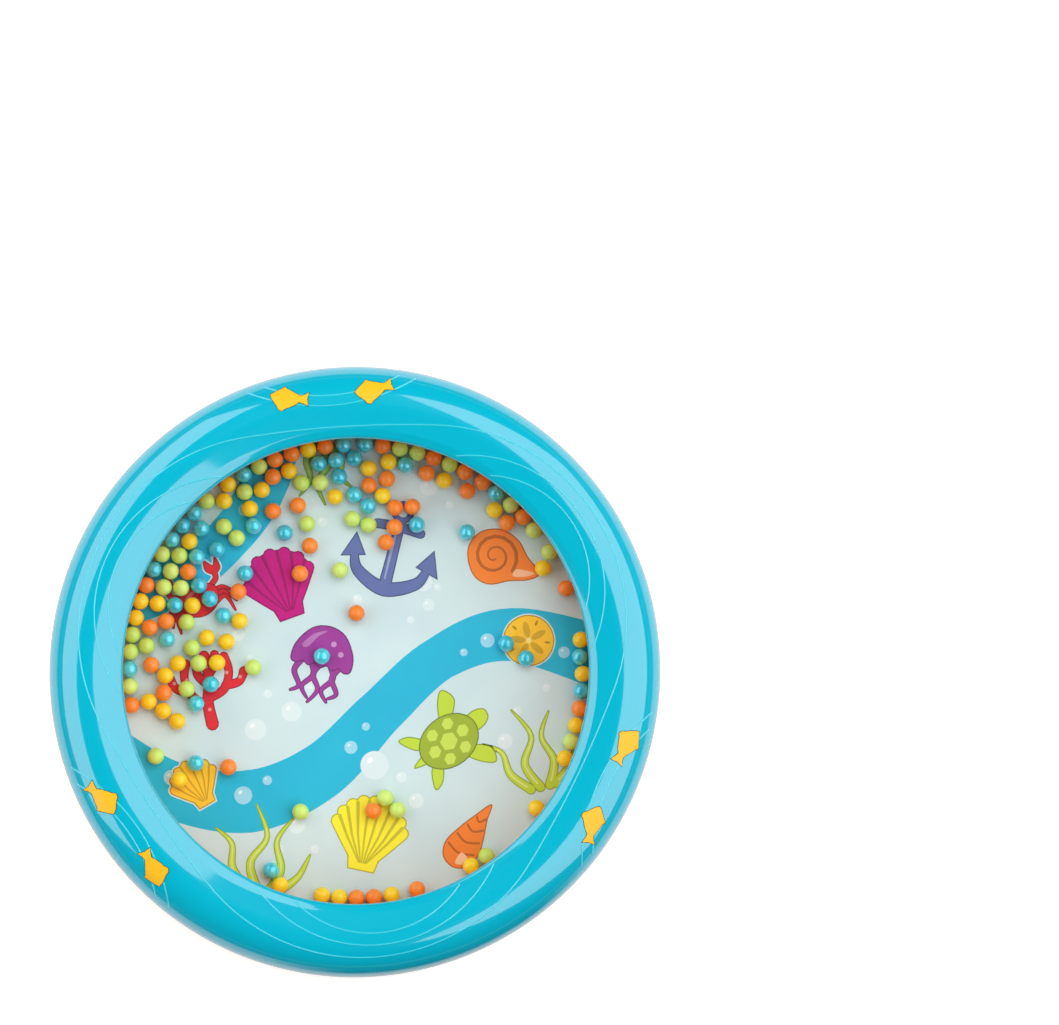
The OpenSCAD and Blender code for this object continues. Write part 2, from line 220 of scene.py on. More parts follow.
def printed_finish_group():
    """Ink on a plastic sheet: a very fine screen of dots, with a slight drift of the ink's weight."""
    group, entry, leave = shader_group(
        "printed finish",
        [("Color", "Color", (0.5, 0.5, 0.5, 1)), ("Screen", "Float", 0.05), ("Roughness", "Float", 0.35)],
        [("Color", "Color"), ("Roughness", "Float"), ("Height", "Float")])
    n = Nodes(group)
    place = n.add("TexCoord").outputs["Object"]
    dots = n.add("TexVoronoi", feature="F1")
    dots.inputs["Scale"].default_value = 2600
    dots.inputs["Randomness"].default_value = 0.25
    n.link(place, dots.inputs["Vector"])
    weight = n.noise(place, 45, 3)
    screen = n.maths("MULTIPLY", n.spread(dots.outputs["Distance"], 0.2, 0.6), entry.outputs["Screen"])
    paler = n.mix(screen, entry.outputs["Color"], (0.95, 0.97, 0.98, 1))
    deeper = n.mix(1.0, paler, (0.93, 0.94, 0.96, 1), "MULTIPLY")
    n.link(n.mix(n.spread(weight, 0.35, 0.65), paler, deeper), leave.inputs["Color"])
    n.link(n.maths("ADD", entry.outputs["Roughness"], n.maths("MULTIPLY", weight, 0.06)),
           leave.inputs["Roughness"])
    n.link(n.noise(place, 700, 2), leave.inputs["Height"])
    return group


MOULDED = moulded_finish_group()
PRINTED = printed_finish_group()


def new_material(name):
    """An empty material, with its nodes and its shader."""
    made = bpy.data.materials.new(name)
    made.use_nodes = True
    return made, Nodes(made.node_tree), made.node_tree.nodes["Principled BSDF"]


def material(name, group, values, bump, fixed, colour_from=None):
    """A material round one of the finish groups. fixed sets the shader's own sockets."""
    made, n, shader = new_material(name)
    finish = n.add("Group", node_tree=group)
    for socket, value in values.items():
        finish.inputs[socket].default_value = value
    if colour_from:
        n.link(colour_from(n), finish.inputs["Color"])
    n.link(finish.outputs["Color"], shader.inputs["Base Color"])
    n.link(finish.outputs["Roughness"], shader.inputs["Roughness"])
    relief = n.add("Bump")
    relief.inputs["Strength"].default_value = 1.0
    relief.inputs["Distance"].default_value = bump
    n.link(finish.outputs["Height"], relief.inputs["Height"])
    n.link(relief.outputs["Normal"], shader.inputs["Normal"])
    for socket, value in fixed.items():
        shader.inputs[socket].default_value = value
    return made


def attribute_colour(name):
    """Takes the colour that is stored in the mesh under a name."""
    def build(n):
        node = n.add("Attribute", attribute_type="GEOMETRY", attribute_name=name)
        return node.outputs["Color"]
    return build


def random_tone_or_edge_shade(first, second):
    """A mix of two colours by the tone stored in the mesh: a random tone on the beads, painted shade on the
    fish's rounded edges.
    """
    def build(n):
        node = n.add("Attribute", attribute_type="GEOMETRY", attribute_name="tone")
        return n.mix(node.outputs["Fac"], first, second)
    return build


GLOSSY = {"Coat Weight": 1.0, "Coat Roughness": 0.04, "Coat IOR": 1.8, "IOR": 1.5,
          "Specular IOR Level": 0.2}
TURQUOISE = material(
    "turquoise moulded plastic", MOULDED,
    {"Color": linear(0, 181, 207), "Drift": 0.10, "Pitting": 1.0, "Roughness": 0.20, "Handling": 0.06},
    2.0e-6, GLOSSY)
# Paler turquoise on the moulded line crests: a painted highlight, for the light that the crests catch
LINE_TURQUOISE_PAINTED_HIGHLIGHT = material(
    "turquoise line crest with painted highlight", MOULDED,
    {"Color": linear(66, 213, 232), "Drift": 0.10, "Pitting": 1.0, "Roughness": 0.16, "Handling": 0.04},
    1.0e-6, GLOSSY)
GOLDEN = material(
    "golden moulded plastic", MOULDED,
    {"Color": linear(246, 160, 60), "Drift": 0.12, "Pitting": 1.0, "Roughness": 0.24, "Handling": 0.06},
    2.0e-6, {"Coat Weight": 0.8, "Coat Roughness": 0.05, "Coat IOR": 1.5})
# The fish's second, darker colour is painted shade on their rounded edges and side walls, for the shadow of
# the groove round them
FISH_YELLOW = material(
    "yellow rim fish plastic", MOULDED,
    {"Drift": 0.15, "Pitting": 1.2, "Roughness": 0.34, "Handling": 0.05},
    2.5e-6, {"Specular IOR Level": 0.3, "Coat Weight": 0.15, "Coat Roughness": 0.15},
    random_tone_or_edge_shade(linear(253, 190, 32), linear(168, 112, 10)))
INK_GLOSS = {"Specular IOR Level": 0.25}
SHEET = material(
    "pale printed sheet", PRINTED,
    {"Color": linear(207, 229, 231), "Screen": 0.03, "Roughness": 0.36}, 1.0e-6, INK_GLOSS)
INK = material(
    "sea print inks", PRINTED, {"Screen": 0.02, "Roughness": 0.34}, 1.0e-6, INK_GLOSS,
    attribute_colour("ink"))
BEAD_FINISH = {"Drift": 0.15, "Pitting": 1.5, "Roughness": 0.36, "Handling": 0.08}
SATIN_BEAD = {"Coat Weight": 0.35, "Coat Roughness": 0.22, "Subsurface Weight": 0.0}
BEADS = {
    "orange": material("satin orange bead", MOULDED, BEAD_FINISH, 3e-6, SATIN_BEAD,
                       random_tone_or_edge_shade(linear(255, 146, 50), linear(255, 132, 38))),
    "yellow": material("satin yellow bead", MOULDED, BEAD_FINISH, 3e-6, SATIN_BEAD,
                       random_tone_or_edge_shade(linear(255, 224, 36), linear(255, 210, 24))),
    "lime": material("satin lime bead", MOULDED, BEAD_FINISH, 3e-6, SATIN_BEAD,
                     random_tone_or_edge_shade(linear(212, 242, 124), linear(198, 234, 102))),
    "blue": material("pearly blue bead", MOULDED, {**BEAD_FINISH, "Roughness": 0.25}, 3e-6,
                     {"Metallic": 0.25, "Coat Weight": 1.0, "Coat Roughness": 0.10, "Coat IOR": 1.6},
                     random_tone_or_edge_shade(linear(84, 224, 246), linear(54, 206, 236))),
}


def steel_material():
    """Zinc-plated steel, with the drawn grain of a turned head."""
    made, n, shader = new_material("zinc plated steel")
    place = n.add("TexCoord").outputs["Object"]
    grain = n.noise(place, 900, 4, 0.6)
    n.link(n.mix(n.spread(grain, 0.3, 0.7), (0.60, 0.61, 0.63, 1), (0.46, 0.47, 0.50, 1)),
           shader.inputs["Base Color"])
    n.link(n.spread(grain, 0.2, 0.8, 0.28, 0.45), shader.inputs["Roughness"])
    shader.inputs["Metallic"].default_value = 1.0
    return made


def window_material():
    """Clear sheet: refracts and reflects what is looked at, and lets light straight through."""
    made, n, shader = new_material("clear window sheet")
    place = n.add("TexCoord").outputs["Object"]
    haze = n.spread(n.noise(place, 120, 5, 0.65), 0.5, 0.8, 0.0, 0.035)
    n.link(haze, shader.inputs["Roughness"])
    shader.inputs["Base Color"].default_value = (0.985, 0.995, 1.0, 1)
    shader.inputs["Transmission Weight"].default_value = 1.0
    shader.inputs["IOR"].default_value = 1.46
    clear = n.add("BsdfTransparent")
    clear.inputs["Color"].default_value = (0.995, 1.0, 1.0, 1)
    path = n.add("LightPath")
    straight = n.maths("MAXIMUM", path.outputs["Is Shadow Ray"], n.maths(
        "MAXIMUM", path.outputs["Is Diffuse Ray"], path.outputs["Is Glossy Ray"]))
    mix = n.add("MixShader")
    n.link(straight, mix.inputs[0])
    n.link(shader.outputs[0], mix.inputs[1])
    n.link(clear.outputs[0], mix.inputs[2])
    n.link(mix.outputs[0], made.node_tree.nodes["Material Output"].inputs["Surface"])
    return made


STEEL = steel_material()
WINDOW = window_material()


# Piece helpers

def new_object(name, bm, closed=True):
    """Turns a bmesh into an object at the origin. A closed one gets its faces pointing outwards."""
    if closed:
        bmesh.ops.recalc_face_normals(bm, faces=bm.faces)
    mesh = bpy.data.meshes.new(name)
    bm.to_mesh(mesh)
    bm.free()
    made = bpy.data.objects.new(name, mesh)
    bpy.context.scene.collection.objects.link(made)
    return made


def finish_piece(made, finish, body, slot, *nodes, sharp=SHARP_DEG):
    """Smooth shading, material and body of a finished piece, and hides the CAD nodes it stands for. Its slot
    is not used.
    """
    made.data.shade_smooth()
    made.data.set_sharp_from_angle(angle=math.radians(sharp))
    made.data.materials.clear()
    made.data.materials.append(finish)
    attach(made, body)
    if nodes:
        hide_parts(*nodes)


def cut_by(made, cutter, operation="DIFFERENCE"):
    """Cuts a closed object by another, or joins the two, and removes the other."""
    modifier = made.modifiers.new("cut", "BOOLEAN")
    modifier.operation = operation
    modifier.solver = "EXACT"
    modifier.object = cutter
    depsgraph = bpy.context.evaluated_depsgraph_get()
    result = bpy.data.meshes.new_from_object(made.evaluated_get(depsgraph))
    made.modifiers.clear()
    made.data = result
    bpy.data.objects.remove(cutter)


def even_shading(made):
    """Lets the large faces lead the shading next to a cut."""
    modifier = made.modifiers.new("even shading", "WEIGHTED_NORMAL")
    modifier.keep_sharp = True


def only_verts(geometry):
    """The vertices in a bmesh operator's geometry."""
    return [g for g in geometry if isinstance(g, bmesh.types.BMVert)]


def arc(centre, radius, start, end, steps):
    """Points of a section along an arc, from one angle to another in degrees."""
    turns = [math.radians(start + (end - start) * i / steps) for i in range(steps + 1)]
    return [(centre[0] + radius * math.cos(t), centre[1] + radius * math.sin(t)) for t in turns]


def line(start, end, steps):
    """Points of a section strictly between two points."""
    return [(start[0] + (end[0] - start[0]) * i / steps, start[1] + (end[1] - start[1]) * i / steps)
            for i in range(1, steps)]


def turn_section(bm, section, steps=ROUND_STEPS, closed=True):
    """Spins a section of (radius, height) round the origin's axis. An open one ends on the axis."""
    corners = [bm.verts.new((r, 0, z)) for r, z in section]
    edges = [bm.edges.new((corners[i - 1], corners[i])) for i in range(0 if closed else 1, len(corners))]
    bmesh.ops.spin(bm, geom=corners + edges, cent=(0, 0, 0), axis=(0, 0, 1), angle=math.tau,
                   steps=steps, use_merge=True, use_duplicate=False)


# The two rims: hollow mouldings, both made as a section over the joint

JOINT_EDGE = 0.35 * MM
SLOPE_DEG = math.degrees(FACE_SLOPE)
# Steps along the parts of a rim's section, from the joint to the window
EDGE_STEPS = 4
SIDE_STEPS = 4
SHOULDER_STEPS = 30
CREST_STEPS = 6
FACE_STEPS = 8
BEVEL_STEPS = 3
LIP_STEPS = 8


def outer_skin(outer_r, round_r, land_r, inset):
    """Section of a rim's outer faces from the side over the crest into the slope."""
    return (arc((outer_r - round_r, HALF_H - round_r), round_r - inset, 0, 90, SHOULDER_STEPS)
            + arc((land_r, HALF_H - CREST_BLEND), CREST_BLEND - inset, 90, 90 + SLOPE_DEG, CREST_STEPS)[1:])


def rim_section(outer_r, round_r, land_r, joint):
    """Closed section of a rim. joint holds the points of its tongue or rebate, inside to outside."""
    seat_h = HALF_H - lip_drop(land_r) - LIP_LAND
    outside = outer_skin(outer_r, round_r, land_r, 0)
    crease = [(BEVEL_R + BEVEL_CREASE, HALF_H - face_drop(land_r, BEVEL_R + BEVEL_CREASE)),
              (BEVEL_R - BEVEL_CREASE, HALF_H - bevel_drop(land_r, BEVEL_R - BEVEL_CREASE))]
    lip = (WINDOW_R + LIP_EASE,
           HALF_H - bevel_drop(land_r, WINDOW_R + LIP_EASE) - LIP_EASE / math.cos(BEVEL_SLOPE))
    lip_points = arc(lip, LIP_EASE, 90 + math.degrees(BEVEL_SLOPE), 180, LIP_STEPS)
    inside = [p for p in outer_skin(outer_r, round_r, land_r, RIM_WALL) if p[0] > HOLLOW_R]
    hollow_h = inside[-1][1] - (inside[-1][0] - HOLLOW_R) * math.tan(FACE_SLOPE)
    edge = arc((outer_r - JOINT_EDGE, JOINT_EDGE), JOINT_EDGE, -90, 0, EDGE_STEPS)
    return (edge + line(edge[-1], outside[0], SIDE_STEPS) + outside
            + line(outside[-1], crease[0], FACE_STEPS) + crease + line(crease[1], lip_points[0], BEVEL_STEPS)
            + lip_points + [(WINDOW_R, seat_h), (SEAT_R, seat_h), (SEAT_R, seat_h - RIB_H),
                            (HOLLOW_R, seat_h - RIB_H), (HOLLOW_R, hollow_h)]
            + inside[::-1] + joint)


# Screw posts, shared by both rims: radius of their circle and the bearing of the first
POST_R = REAR_LAND_R + FOOT_LAND / 2
POST_FIRST = 35.5
POST_COUNT = 6
POST_OUTER_R = 3.55 * MM
POST_STEPS = 40
# Depth of the front posts' ends below the crest, inside the rim's shell
POST_SINK = 0.7 * RIM_WALL
COUNTERBORE_R = SCREW_HEAD_R + 0.3 * MM
SHANK_HOLE_R = SCREW_R + 0.2 * MM
# The threads bite into the pilot holes, which run on a little past the tips
PILOT_R = SCREW_R - 0.2 * MM
PILOT_TOP = COUNTERBORE_DEPTH + SCREW_L + 1 * MM


def post_places():
    """Centre of each screw post, as seen from above."""
    for i in range(POST_COUNT):
        turn = math.radians(POST_FIRST + i * 360 / POST_COUNT)
        yield Vector((POST_R * math.cos(turn), POST_R * math.sin(turn), 0))


def post_cylinders(name, radius, low, high):
    """A closed cylinder at every post."""
    bm = bmesh.new()
    for place in post_places():
        place.z = (low + high) / 2
        bmesh.ops.create_cone(bm, cap_ends=True, segments=POST_STEPS, radius1=radius, radius2=radius,
                              depth=high - low, matrix=Matrix.Translation(place))
    return new_object(name, bm)


# Cosine between two sides at which a grown corner reaches no further
SHARPEST_TURN = -0.5
# How many sides on a small loop may end
LOOP_REACH = 8


def outward(start, end):
    """Unit vector to the right of a step, which is outwards on a counterclockwise outline."""
    along = (end - start).normalized()
    return Vector((along.y, -along.x))


def counterclockwise(points):
    """An outline, turned round if it runs clockwise."""
    area = sum(a.cross(b) for a, b in zip(points, points[1:] + points[:1]))
    return points if area > 0 else points[::-1]


def grown(points, gap):
    """A closed counterclockwise outline moved outwards by gap."""
    out = []
    for i, here in enumerate(points):
        before = outward(points[i - 1], here)
        after = outward(here, points[(i + 1) % len(points)])
        out.append(here + (before + after) * gap / (1 + max(before.dot(after), SHARPEST_TURN)))
    return out


def untangled(points):
    """A closed outline without the small loops that growing leaves at its notches."""
    out = list(points)
    i = 0
    while i < len(out):
        out = out[i:] + out[:i]
        for step in range(min(LOOP_REACH, len(out) - 2), 1, -1):
            cross = intersect_line_line_2d(out[0], out[1], out[step], out[(step + 1) % len(out)])
            if cross:
                out[1:step + 1] = [cross]
                break
        out = out[-i:] + out[:-i] if i else out
        i += 1
    return out


# Fish set into the front rim
FISH_L = 12.8 * MM
FISH_IN = 8.6 * MM
POCKET_DEPTH = 1.2 * MM
FISH_PROUD = 0.3 * MM
FISH_GAP = 0.2 * MM
FISH_EDGE = 0.42 * MM
CUTTER_H = 2 * MM
PAIR_DEG = 17.3
FIRST_PAIR = 96
PAIR_COUNT = 3
FISH_COUNT = 2 * PAIR_COUNT
FISH_TURNS = (17, -20.5)
# A fish seen from above, as shares of its length: nose to the right, tail to the left
FISH_SHARES = [(0.43, 0.02), (0.33, 0.1), (0.13, 0.23), (0.07, 0.28), (0.01, 0.22), (-0.14, 0.16),
               (-0.34, 0.07), (-0.44, 0.1), (-0.56, 0.18), (-0.53, 0), (-0.57, -0.17), (-0.42, -0.12),
               (-0.33, -0.1), (-0.24, -0.18), (-0.1, -0.26), (0.01, -0.31), (0.09, -0.38), (0.18, -0.35),
               (0.22, -0.27), (0.37, -0.1)]


def fish_outline(number, gap):
    """Outline of a fish in the rim's plan, counterclockwise, for the fish numbered from 0."""
    side = number % 2
    place = Matrix.Rotation(math.radians(
        FIRST_PAIR + number // 2 * 360 / PAIR_COUNT + (side - 0.5) * PAIR_DEG), 2)
    turn = Matrix.Rotation(math.radians(FISH_TURNS[side]), 2)
    shape = grown([Vector(p) * FISH_L for p in FISH_SHARES], gap)
    return [place @ (Vector((FRONT_R - FISH_IN, 0)) + turn @ Vector((y, x))) for x, y in shape][::-1]


def lie_on_face(bm):
    """Lifts a flat shape, whose z is its height over the face, onto the front rim's face."""
    for v in bm.verts:
        v.co.z += face_z(Vector((v.co.x, v.co.y)).length)


# Distance between the cuts that let a plate bend with the face
PLATE_CELL = 0.7 * MM
# A plate's rounded edge, in steps: share of its width, share of its rise, and the share of painted edge
# shade that is left
PLATE_EDGE = ((0.3, 0.62, 0.9), (0.7, 0.38, 0.0))


def plate_on_face(bm, outline, low, high, edge=0.0):
    """A closed plate that follows the rim's face, from low to high over it.

    With an edge, its top is rounded over that width, and the tone layer puts painted shade on the rounded
    part and the side wall.
    """
    tone = bm.verts.layers.float.get("tone") or bm.verts.layers.float.new("tone")
    done = bm.faces.layers.int.get("done") or bm.faces.layers.int.new("done")
    corners = [bm.verts.new((p.x, p.y, high - edge)) for p in outline]
    plate = bm.faces.new(corners)
    if edge:
        # Painted shade: full at the foot of the rounded edge, fading to none on the top
        for v in corners:
            v[tone] = 1.0
        for share, rise, left in PLATE_EDGE:
            bmesh.ops.inset_region(bm, faces=[plate], thickness=edge * share, use_even_offset=True)
            for v in plate.verts:
                v.co.z += edge * rise
                v[tone] = left
    bmesh.ops.triangulate(bm, faces=[plate])
    for axis in (0, 1):
        values = [p[axis] for p in outline]
        spot, across = Vector((0, 0, 0)), Vector((0, 0, 0))
        across[axis] = 1
        for i in range(int((max(values) - min(values)) / PLATE_CELL)):
            spot[axis] = min(values) + PLATE_CELL * (i + 0.5)
            fresh = [f for f in bm.faces if not f[done]]
            geometry = list({v for f in fresh for v in f.verts} | {e for f in fresh for e in f.edges})
            bmesh.ops.bisect_plane(bm, geom=geometry + fresh, plane_co=spot, plane_no=across)
    border = [e for f in bm.faces if not f[done] for e in f.edges if e.is_boundary]
    wall = bmesh.ops.extrude_edge_only(bm, edges=border)["geom"]
    for v in only_verts(wall):
        v.co.z = low
        v[tone] = 1.0 if edge else 0.0
    bmesh.ops.holes_fill(bm, edges=[g for g in wall if isinstance(g, bmesh.types.BMEdge)], sides=0)
    for f in bm.faces:
        f[done] = 1


def fish_cutter(name):
    """The six pockets of the fish, from their floors to well over the face."""
    bm = bmesh.new()
    for number in range(FISH_COUNT):
        plate_on_face(bm, fish_outline(number, FISH_GAP), -POCKET_DEPTH, CUTTER_H)
    lie_on_face(bm)
    return new_object(name, bm)


def make_front_rim():
    """Front rim: turned moulding with its screw posts and the pockets of the fish."""
    rebate = [(FRONT_R - RIM_WALL, TONGUE_H + TONGUE_GAP),
              (FRONT_R - RIM_WALL / 2, TONGUE_H + TONGUE_GAP), (FRONT_R - RIM_WALL / 2, 0)]
    bm = bmesh.new()
    turn_section(bm, rim_section(FRONT_R, FRONT_ROUND, FRONT_LAND_R, rebate))
    bmesh.ops.translate(bm, verts=bm.verts, vec=(0, 0, JOINT_Z))
    rim = new_object("front_rim_moulding", bm)
    cut_by(rim, post_cylinders("front_posts", POST_OUTER_R, JOINT_Z, DRUM_H - POST_SINK), "UNION")
    cut_by(rim, post_cylinders("pilot_holes", PILOT_R, JOINT_Z - RIM_WALL, PILOT_TOP))
    cut_by(rim, fish_cutter("pockets"))
    finish_piece(rim, TURQUOISE, "drum", "turquoise_plastic", "front_rim")
    even_shading(rim)


def make_rear_rim():
    """Rear rim: turned moulding with a tongue, counterbored posts and the flat foot."""
    tongue_in = FRONT_R - RIM_WALL
    tongue_out = FRONT_R - RIM_WALL / 2 - TONGUE_GAP
    tongue = [(REAR_R - RIM_WALL, TONGUE_H), (tongue_in, TONGUE_H), (tongue_in, -TONGUE_H),
              (tongue_out, -TONGUE_H), (tongue_out, 0)]
    bm = bmesh.new()
    turn_section(bm, rim_section(REAR_R, REAR_ROUND, REAR_LAND_R, tongue))
    bmesh.ops.scale(bm, verts=bm.verts, vec=(1, 1, -1))
    bmesh.ops.translate(bm, verts=bm.verts, vec=(0, 0, JOINT_Z))
    rim = new_object("rear_rim_moulding", bm)
    cut_by(rim, post_cylinders("posts", POST_OUTER_R, RIM_WALL / 2, JOINT_Z), "UNION")
    cut_by(rim, post_cylinders("counterbores", COUNTERBORE_R, -RIM_WALL, COUNTERBORE_DEPTH))
    cut_by(rim, post_cylinders("shank_holes", SHANK_HOLE_R, COUNTERBORE_DEPTH - RIM_WALL, DRUM_H))
    finish_piece(rim, GOLDEN, "drum", "golden_plastic", "rear_rim")
    even_shading(rim)


def make_fish():
    """The six fish, each seated in its pocket and standing a little proud."""
    for number in range(FISH_COUNT):
        bm = bmesh.new()
        plate_on_face(bm, fish_outline(number, 0), -POCKET_DEPTH, FISH_PROUD, FISH_EDGE)
        lie_on_face(bm)
        node = f"rim_fish_{number + 1}"
        finish_piece(new_object(f"{node}_inlay", bm), FISH_YELLOW, "drum", "fish_yellow", node, sharp=50)


# Moulded lines on the front rim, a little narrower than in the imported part. Their places are shares of
# the face from the lip outwards, and half spreads in degrees
LINE_W = 0.46 * MM
LINE_H = 0.2 * MM
LINE_STEP = 0.8 * MM
WAVE_COUNT = 3
WAVE_FIRST = 35.3
TROUGH_TURN = 60
CORNER_TURN = -1.3
LINE_LOW_R = WINDOW_R + LIP_ROUND
LINE_HIGH_R = FRONT_R - 2.8 * MM
ARCH_SHARES = [(0.534, 30.1), (0.378, 20.5)]
TROUGH_SHARES = [(0.442, 16.5), (0.578, 13.2)]
CORNER_SHARE = 0.695
SIDE_SHARE = 0.153
CORNER_SPREAD = 54.1
LINE_SHARP = 60
# Section of a line, as shares of its width and its height: a low ridge with a soft top
RIDGE_SHARES = [(-0.62, -0.9), (-0.5, 0.1), (-0.36, 0.68), (-0.16, 0.95), (0.0, 1.0),
                (0.16, 0.95), (0.36, 0.68), (0.5, 0.1), (0.62, -0.9)]


def face_r(share):
    """Radius of a place on the front rim's face."""
    return WINDOW_R + share * (FRONT_R - WINDOW_R)


def ridge(bm, ray, middle_r, centre_r, spread):
    """A low ridge along an arc about a centre on a ray, spread to both sides of its middle."""
    radius = abs(middle_r - centre_r)
    start = ray - spread + (180 if centre_r > middle_r else 0)
    centre = Matrix.Rotation(math.radians(ray), 3, "Z") @ Vector((centre_r, 0, 0))
    begin = Matrix.Rotation(math.radians(start), 3, "Z")
    section = [bm.verts.new(centre + begin @ Vector((radius + x * LINE_W, 0, z * LINE_H)))
               for x, z in RIDGE_SHARES]
    edges = [bm.edges.new((section[i - 1], section[i])) for i in range(len(section))]
    steps = max(8, round(radius * math.radians(2 * spread) / LINE_STEP))
    bmesh.ops.spin(bm, geom=section + edges, cent=centre, axis=(0, 0, 1),
                   angle=math.radians(2 * spread), steps=steps, use_merge=False, use_duplicate=False)
    bmesh.ops.holes_fill(bm, edges=[e for e in bm.edges if e.is_boundary], sides=0)


def spread_of(middle_r, end_r, spread):
    """Centre of an arc through a middle and two ends, and its half spread about that centre."""
    turn = math.radians(spread)
    centre_r = (middle_r ** 2 - end_r ** 2) / (2 * (middle_r - end_r * math.cos(turn)))
    own = math.atan2(end_r * math.sin(turn), abs(end_r * math.cos(turn) - centre_r))
    return centre_r, math.degrees(own)


def wave_ray(i):
    """Ray of the arches numbered i."""
    return WAVE_FIRST + i * 360 / WAVE_COUNT


def make_wave_lines():
    """All the moulded lines: arches, troughs and the long closed line of three corners."""
    pitch = 360 / WAVE_COUNT
    side_spread = pitch / 2 - CORNER_SPREAD
    sines = [math.sin(math.radians(a)) for a in (CORNER_SPREAD, side_spread, pitch)]
    apart = (face_r(CORNER_SHARE) - face_r(SIDE_SHARE)) / ((sines[0] + sines[1]) / sines[2] - 1)
    bm = bmesh.new()
    for i in range(WAVE_COUNT):
        for share, spread in ARCH_SHARES:
            ridge(bm, wave_ray(i), face_r(share), *spread_of(face_r(share), LINE_LOW_R, spread))
        corner = wave_ray(i) + CORNER_TURN
        ridge(bm, corner, face_r(CORNER_SHARE), apart * sines[1] / sines[2], CORNER_SPREAD)
        ridge(bm, corner + pitch / 2, face_r(SIDE_SHARE), -apart * sines[0] / sines[2], side_spread)
    lie_on_face(bm)
    finish_piece(new_object("wave_lines", bm), LINE_TURQUOISE_PAINTED_HIGHLIGHT, "drum", "turquoise_plastic", sharp=LINE_SHARP)
    bm = bmesh.new()
    for i in range(WAVE_COUNT):
        for share, spread in TROUGH_SHARES:
            ridge(bm, wave_ray(i) + TROUGH_TURN, face_r(share),
                  *spread_of(face_r(share), LINE_HIGH_R, spread))
    lie_on_face(bm)
    troughs = new_object("wave_troughs", bm)
    cut_by(troughs, fish_cutter("trough_pockets"))
    finish_piece(troughs, LINE_TURQUOISE_PAINTED_HIGHLIGHT, "drum", "turquoise_plastic", sharp=LINE_SHARP)


# The chamber: wall, clear front head and printed rear head
REAR_SEAT_Z = lip_drop(REAR_LAND_R) + LIP_LAND
FRONT_SEAT_Z = DRUM_H - lip_drop(FRONT_LAND_R) - LIP_LAND
PRINT_Z = REAR_SEAT_Z + HEAD_T
CHAMBER_EDGE = 0.2 * MM
SHEET_EDGE = 0.12 * MM


def make_chamber():
    """The ring between the heads, with small rounded edges."""
    inside, outside = CHAMBER_R + CHAMBER_EDGE, HEAD_R - CHAMBER_EDGE
    low, high = PRINT_Z + CHAMBER_EDGE, FRONT_SEAT_Z - HEAD_T - CHAMBER_EDGE
    section = []
    for centre, start in (((inside, low), 180), ((outside, low), 270),
                          ((outside, high), 0), ((inside, high), 90)):
        section += arc(centre, CHAMBER_EDGE, start, start + 90, 3)
    bm = bmesh.new()
    turn_section(bm, section)
    finish_piece(new_object("bead_chamber_wall", bm), GOLDEN, "drum", "golden_plastic", "chamber_wall")


def head_disc(name, low, finish, slot, node):
    """A thin round sheet with a slightly eased edge."""
    bm = bmesh.new()
    bmesh.ops.create_cone(bm, cap_ends=True, segments=ROUND_STEPS, radius1=HEAD_R, radius2=HEAD_R,
                          depth=HEAD_T, matrix=Matrix.Translation((0, 0, low + HEAD_T / 2)))
    rims = [e for e in bm.edges if len(e.link_faces) == 2 and e.calc_face_angle() > 1]
    bmesh.ops.bevel(bm, geom=rims, offset=SHEET_EDGE, affect="EDGES", segments=2, profile=0.5, material=-1)
    finish_piece(new_object(name, bm), finish, "drum", slot, node, sharp=20)


def make_heads():
    """The clear front head and the printed rear head."""
    head_disc("clear_front_head", FRONT_SEAT_Z - HEAD_T, WINDOW, "clear_window", "front_head")
    head_disc("printed_rear_head", REAR_SEAT_Z, SHEET, "printed_sheet", "rear_head")


SCREW_STEPS = 28
HEAD_ROUND = 0.9 * MM
THREAD_TURNS = 16
THREAD_DEPTH = 0.3 * MM
THREAD_L = SCREW_L - 2 * MM
POINT_L = 1.6 * MM
RECESS_L = 3.1 * MM
RECESS_W = 0.75 * MM
RECESS_H = 2.2 * MM
RECESS_TAPER = 0.45


def screw_section():
    """Open section of a screw from the crown of its head to its tip."""
    crown = COUNTERBORE_DEPTH - SCREW_HEAD_H
    top = COUNTERBORE_DEPTH + SCREW_L
    core = SCREW_R - THREAD_DEPTH
    step = THREAD_L / THREAD_TURNS
    section = ([(0, crown)] + arc((SCREW_HEAD_R - HEAD_ROUND, crown + HEAD_ROUND), HEAD_ROUND, 270, 360, 6)
               + [(SCREW_HEAD_R, COUNTERBORE_DEPTH), (SCREW_R, COUNTERBORE_DEPTH)])
    for i in range(THREAD_TURNS):
        low = COUNTERBORE_DEPTH + step * (i + 0.3)
        section += [(core, low), (SCREW_R, low + step * 0.4), (SCREW_R, low + step * 0.5)]
    return section + [(core, top - POINT_L), (0, top)]


def recess_cutter(length, width):
    """One blade of the cross recess at every post, narrower towards its end in the head."""
    crown = COUNTERBORE_DEPTH - SCREW_HEAD_H
    bm = bmesh.new()
    for place in post_places():
        middle = Matrix.Translation(place + Vector((0, 0, crown)))
        size = Matrix.Diagonal((length, width, RECESS_H, 1))
        for v in bmesh.ops.create_cube(bm, size=1.0, matrix=middle @ size)["verts"]:
            if v.co.z > crown:
                v.co.x += (place.x - v.co.x) * RECESS_TAPER
                v.co.y += (place.y - v.co.y) * RECESS_TAPER
    return new_object("recess", bm)


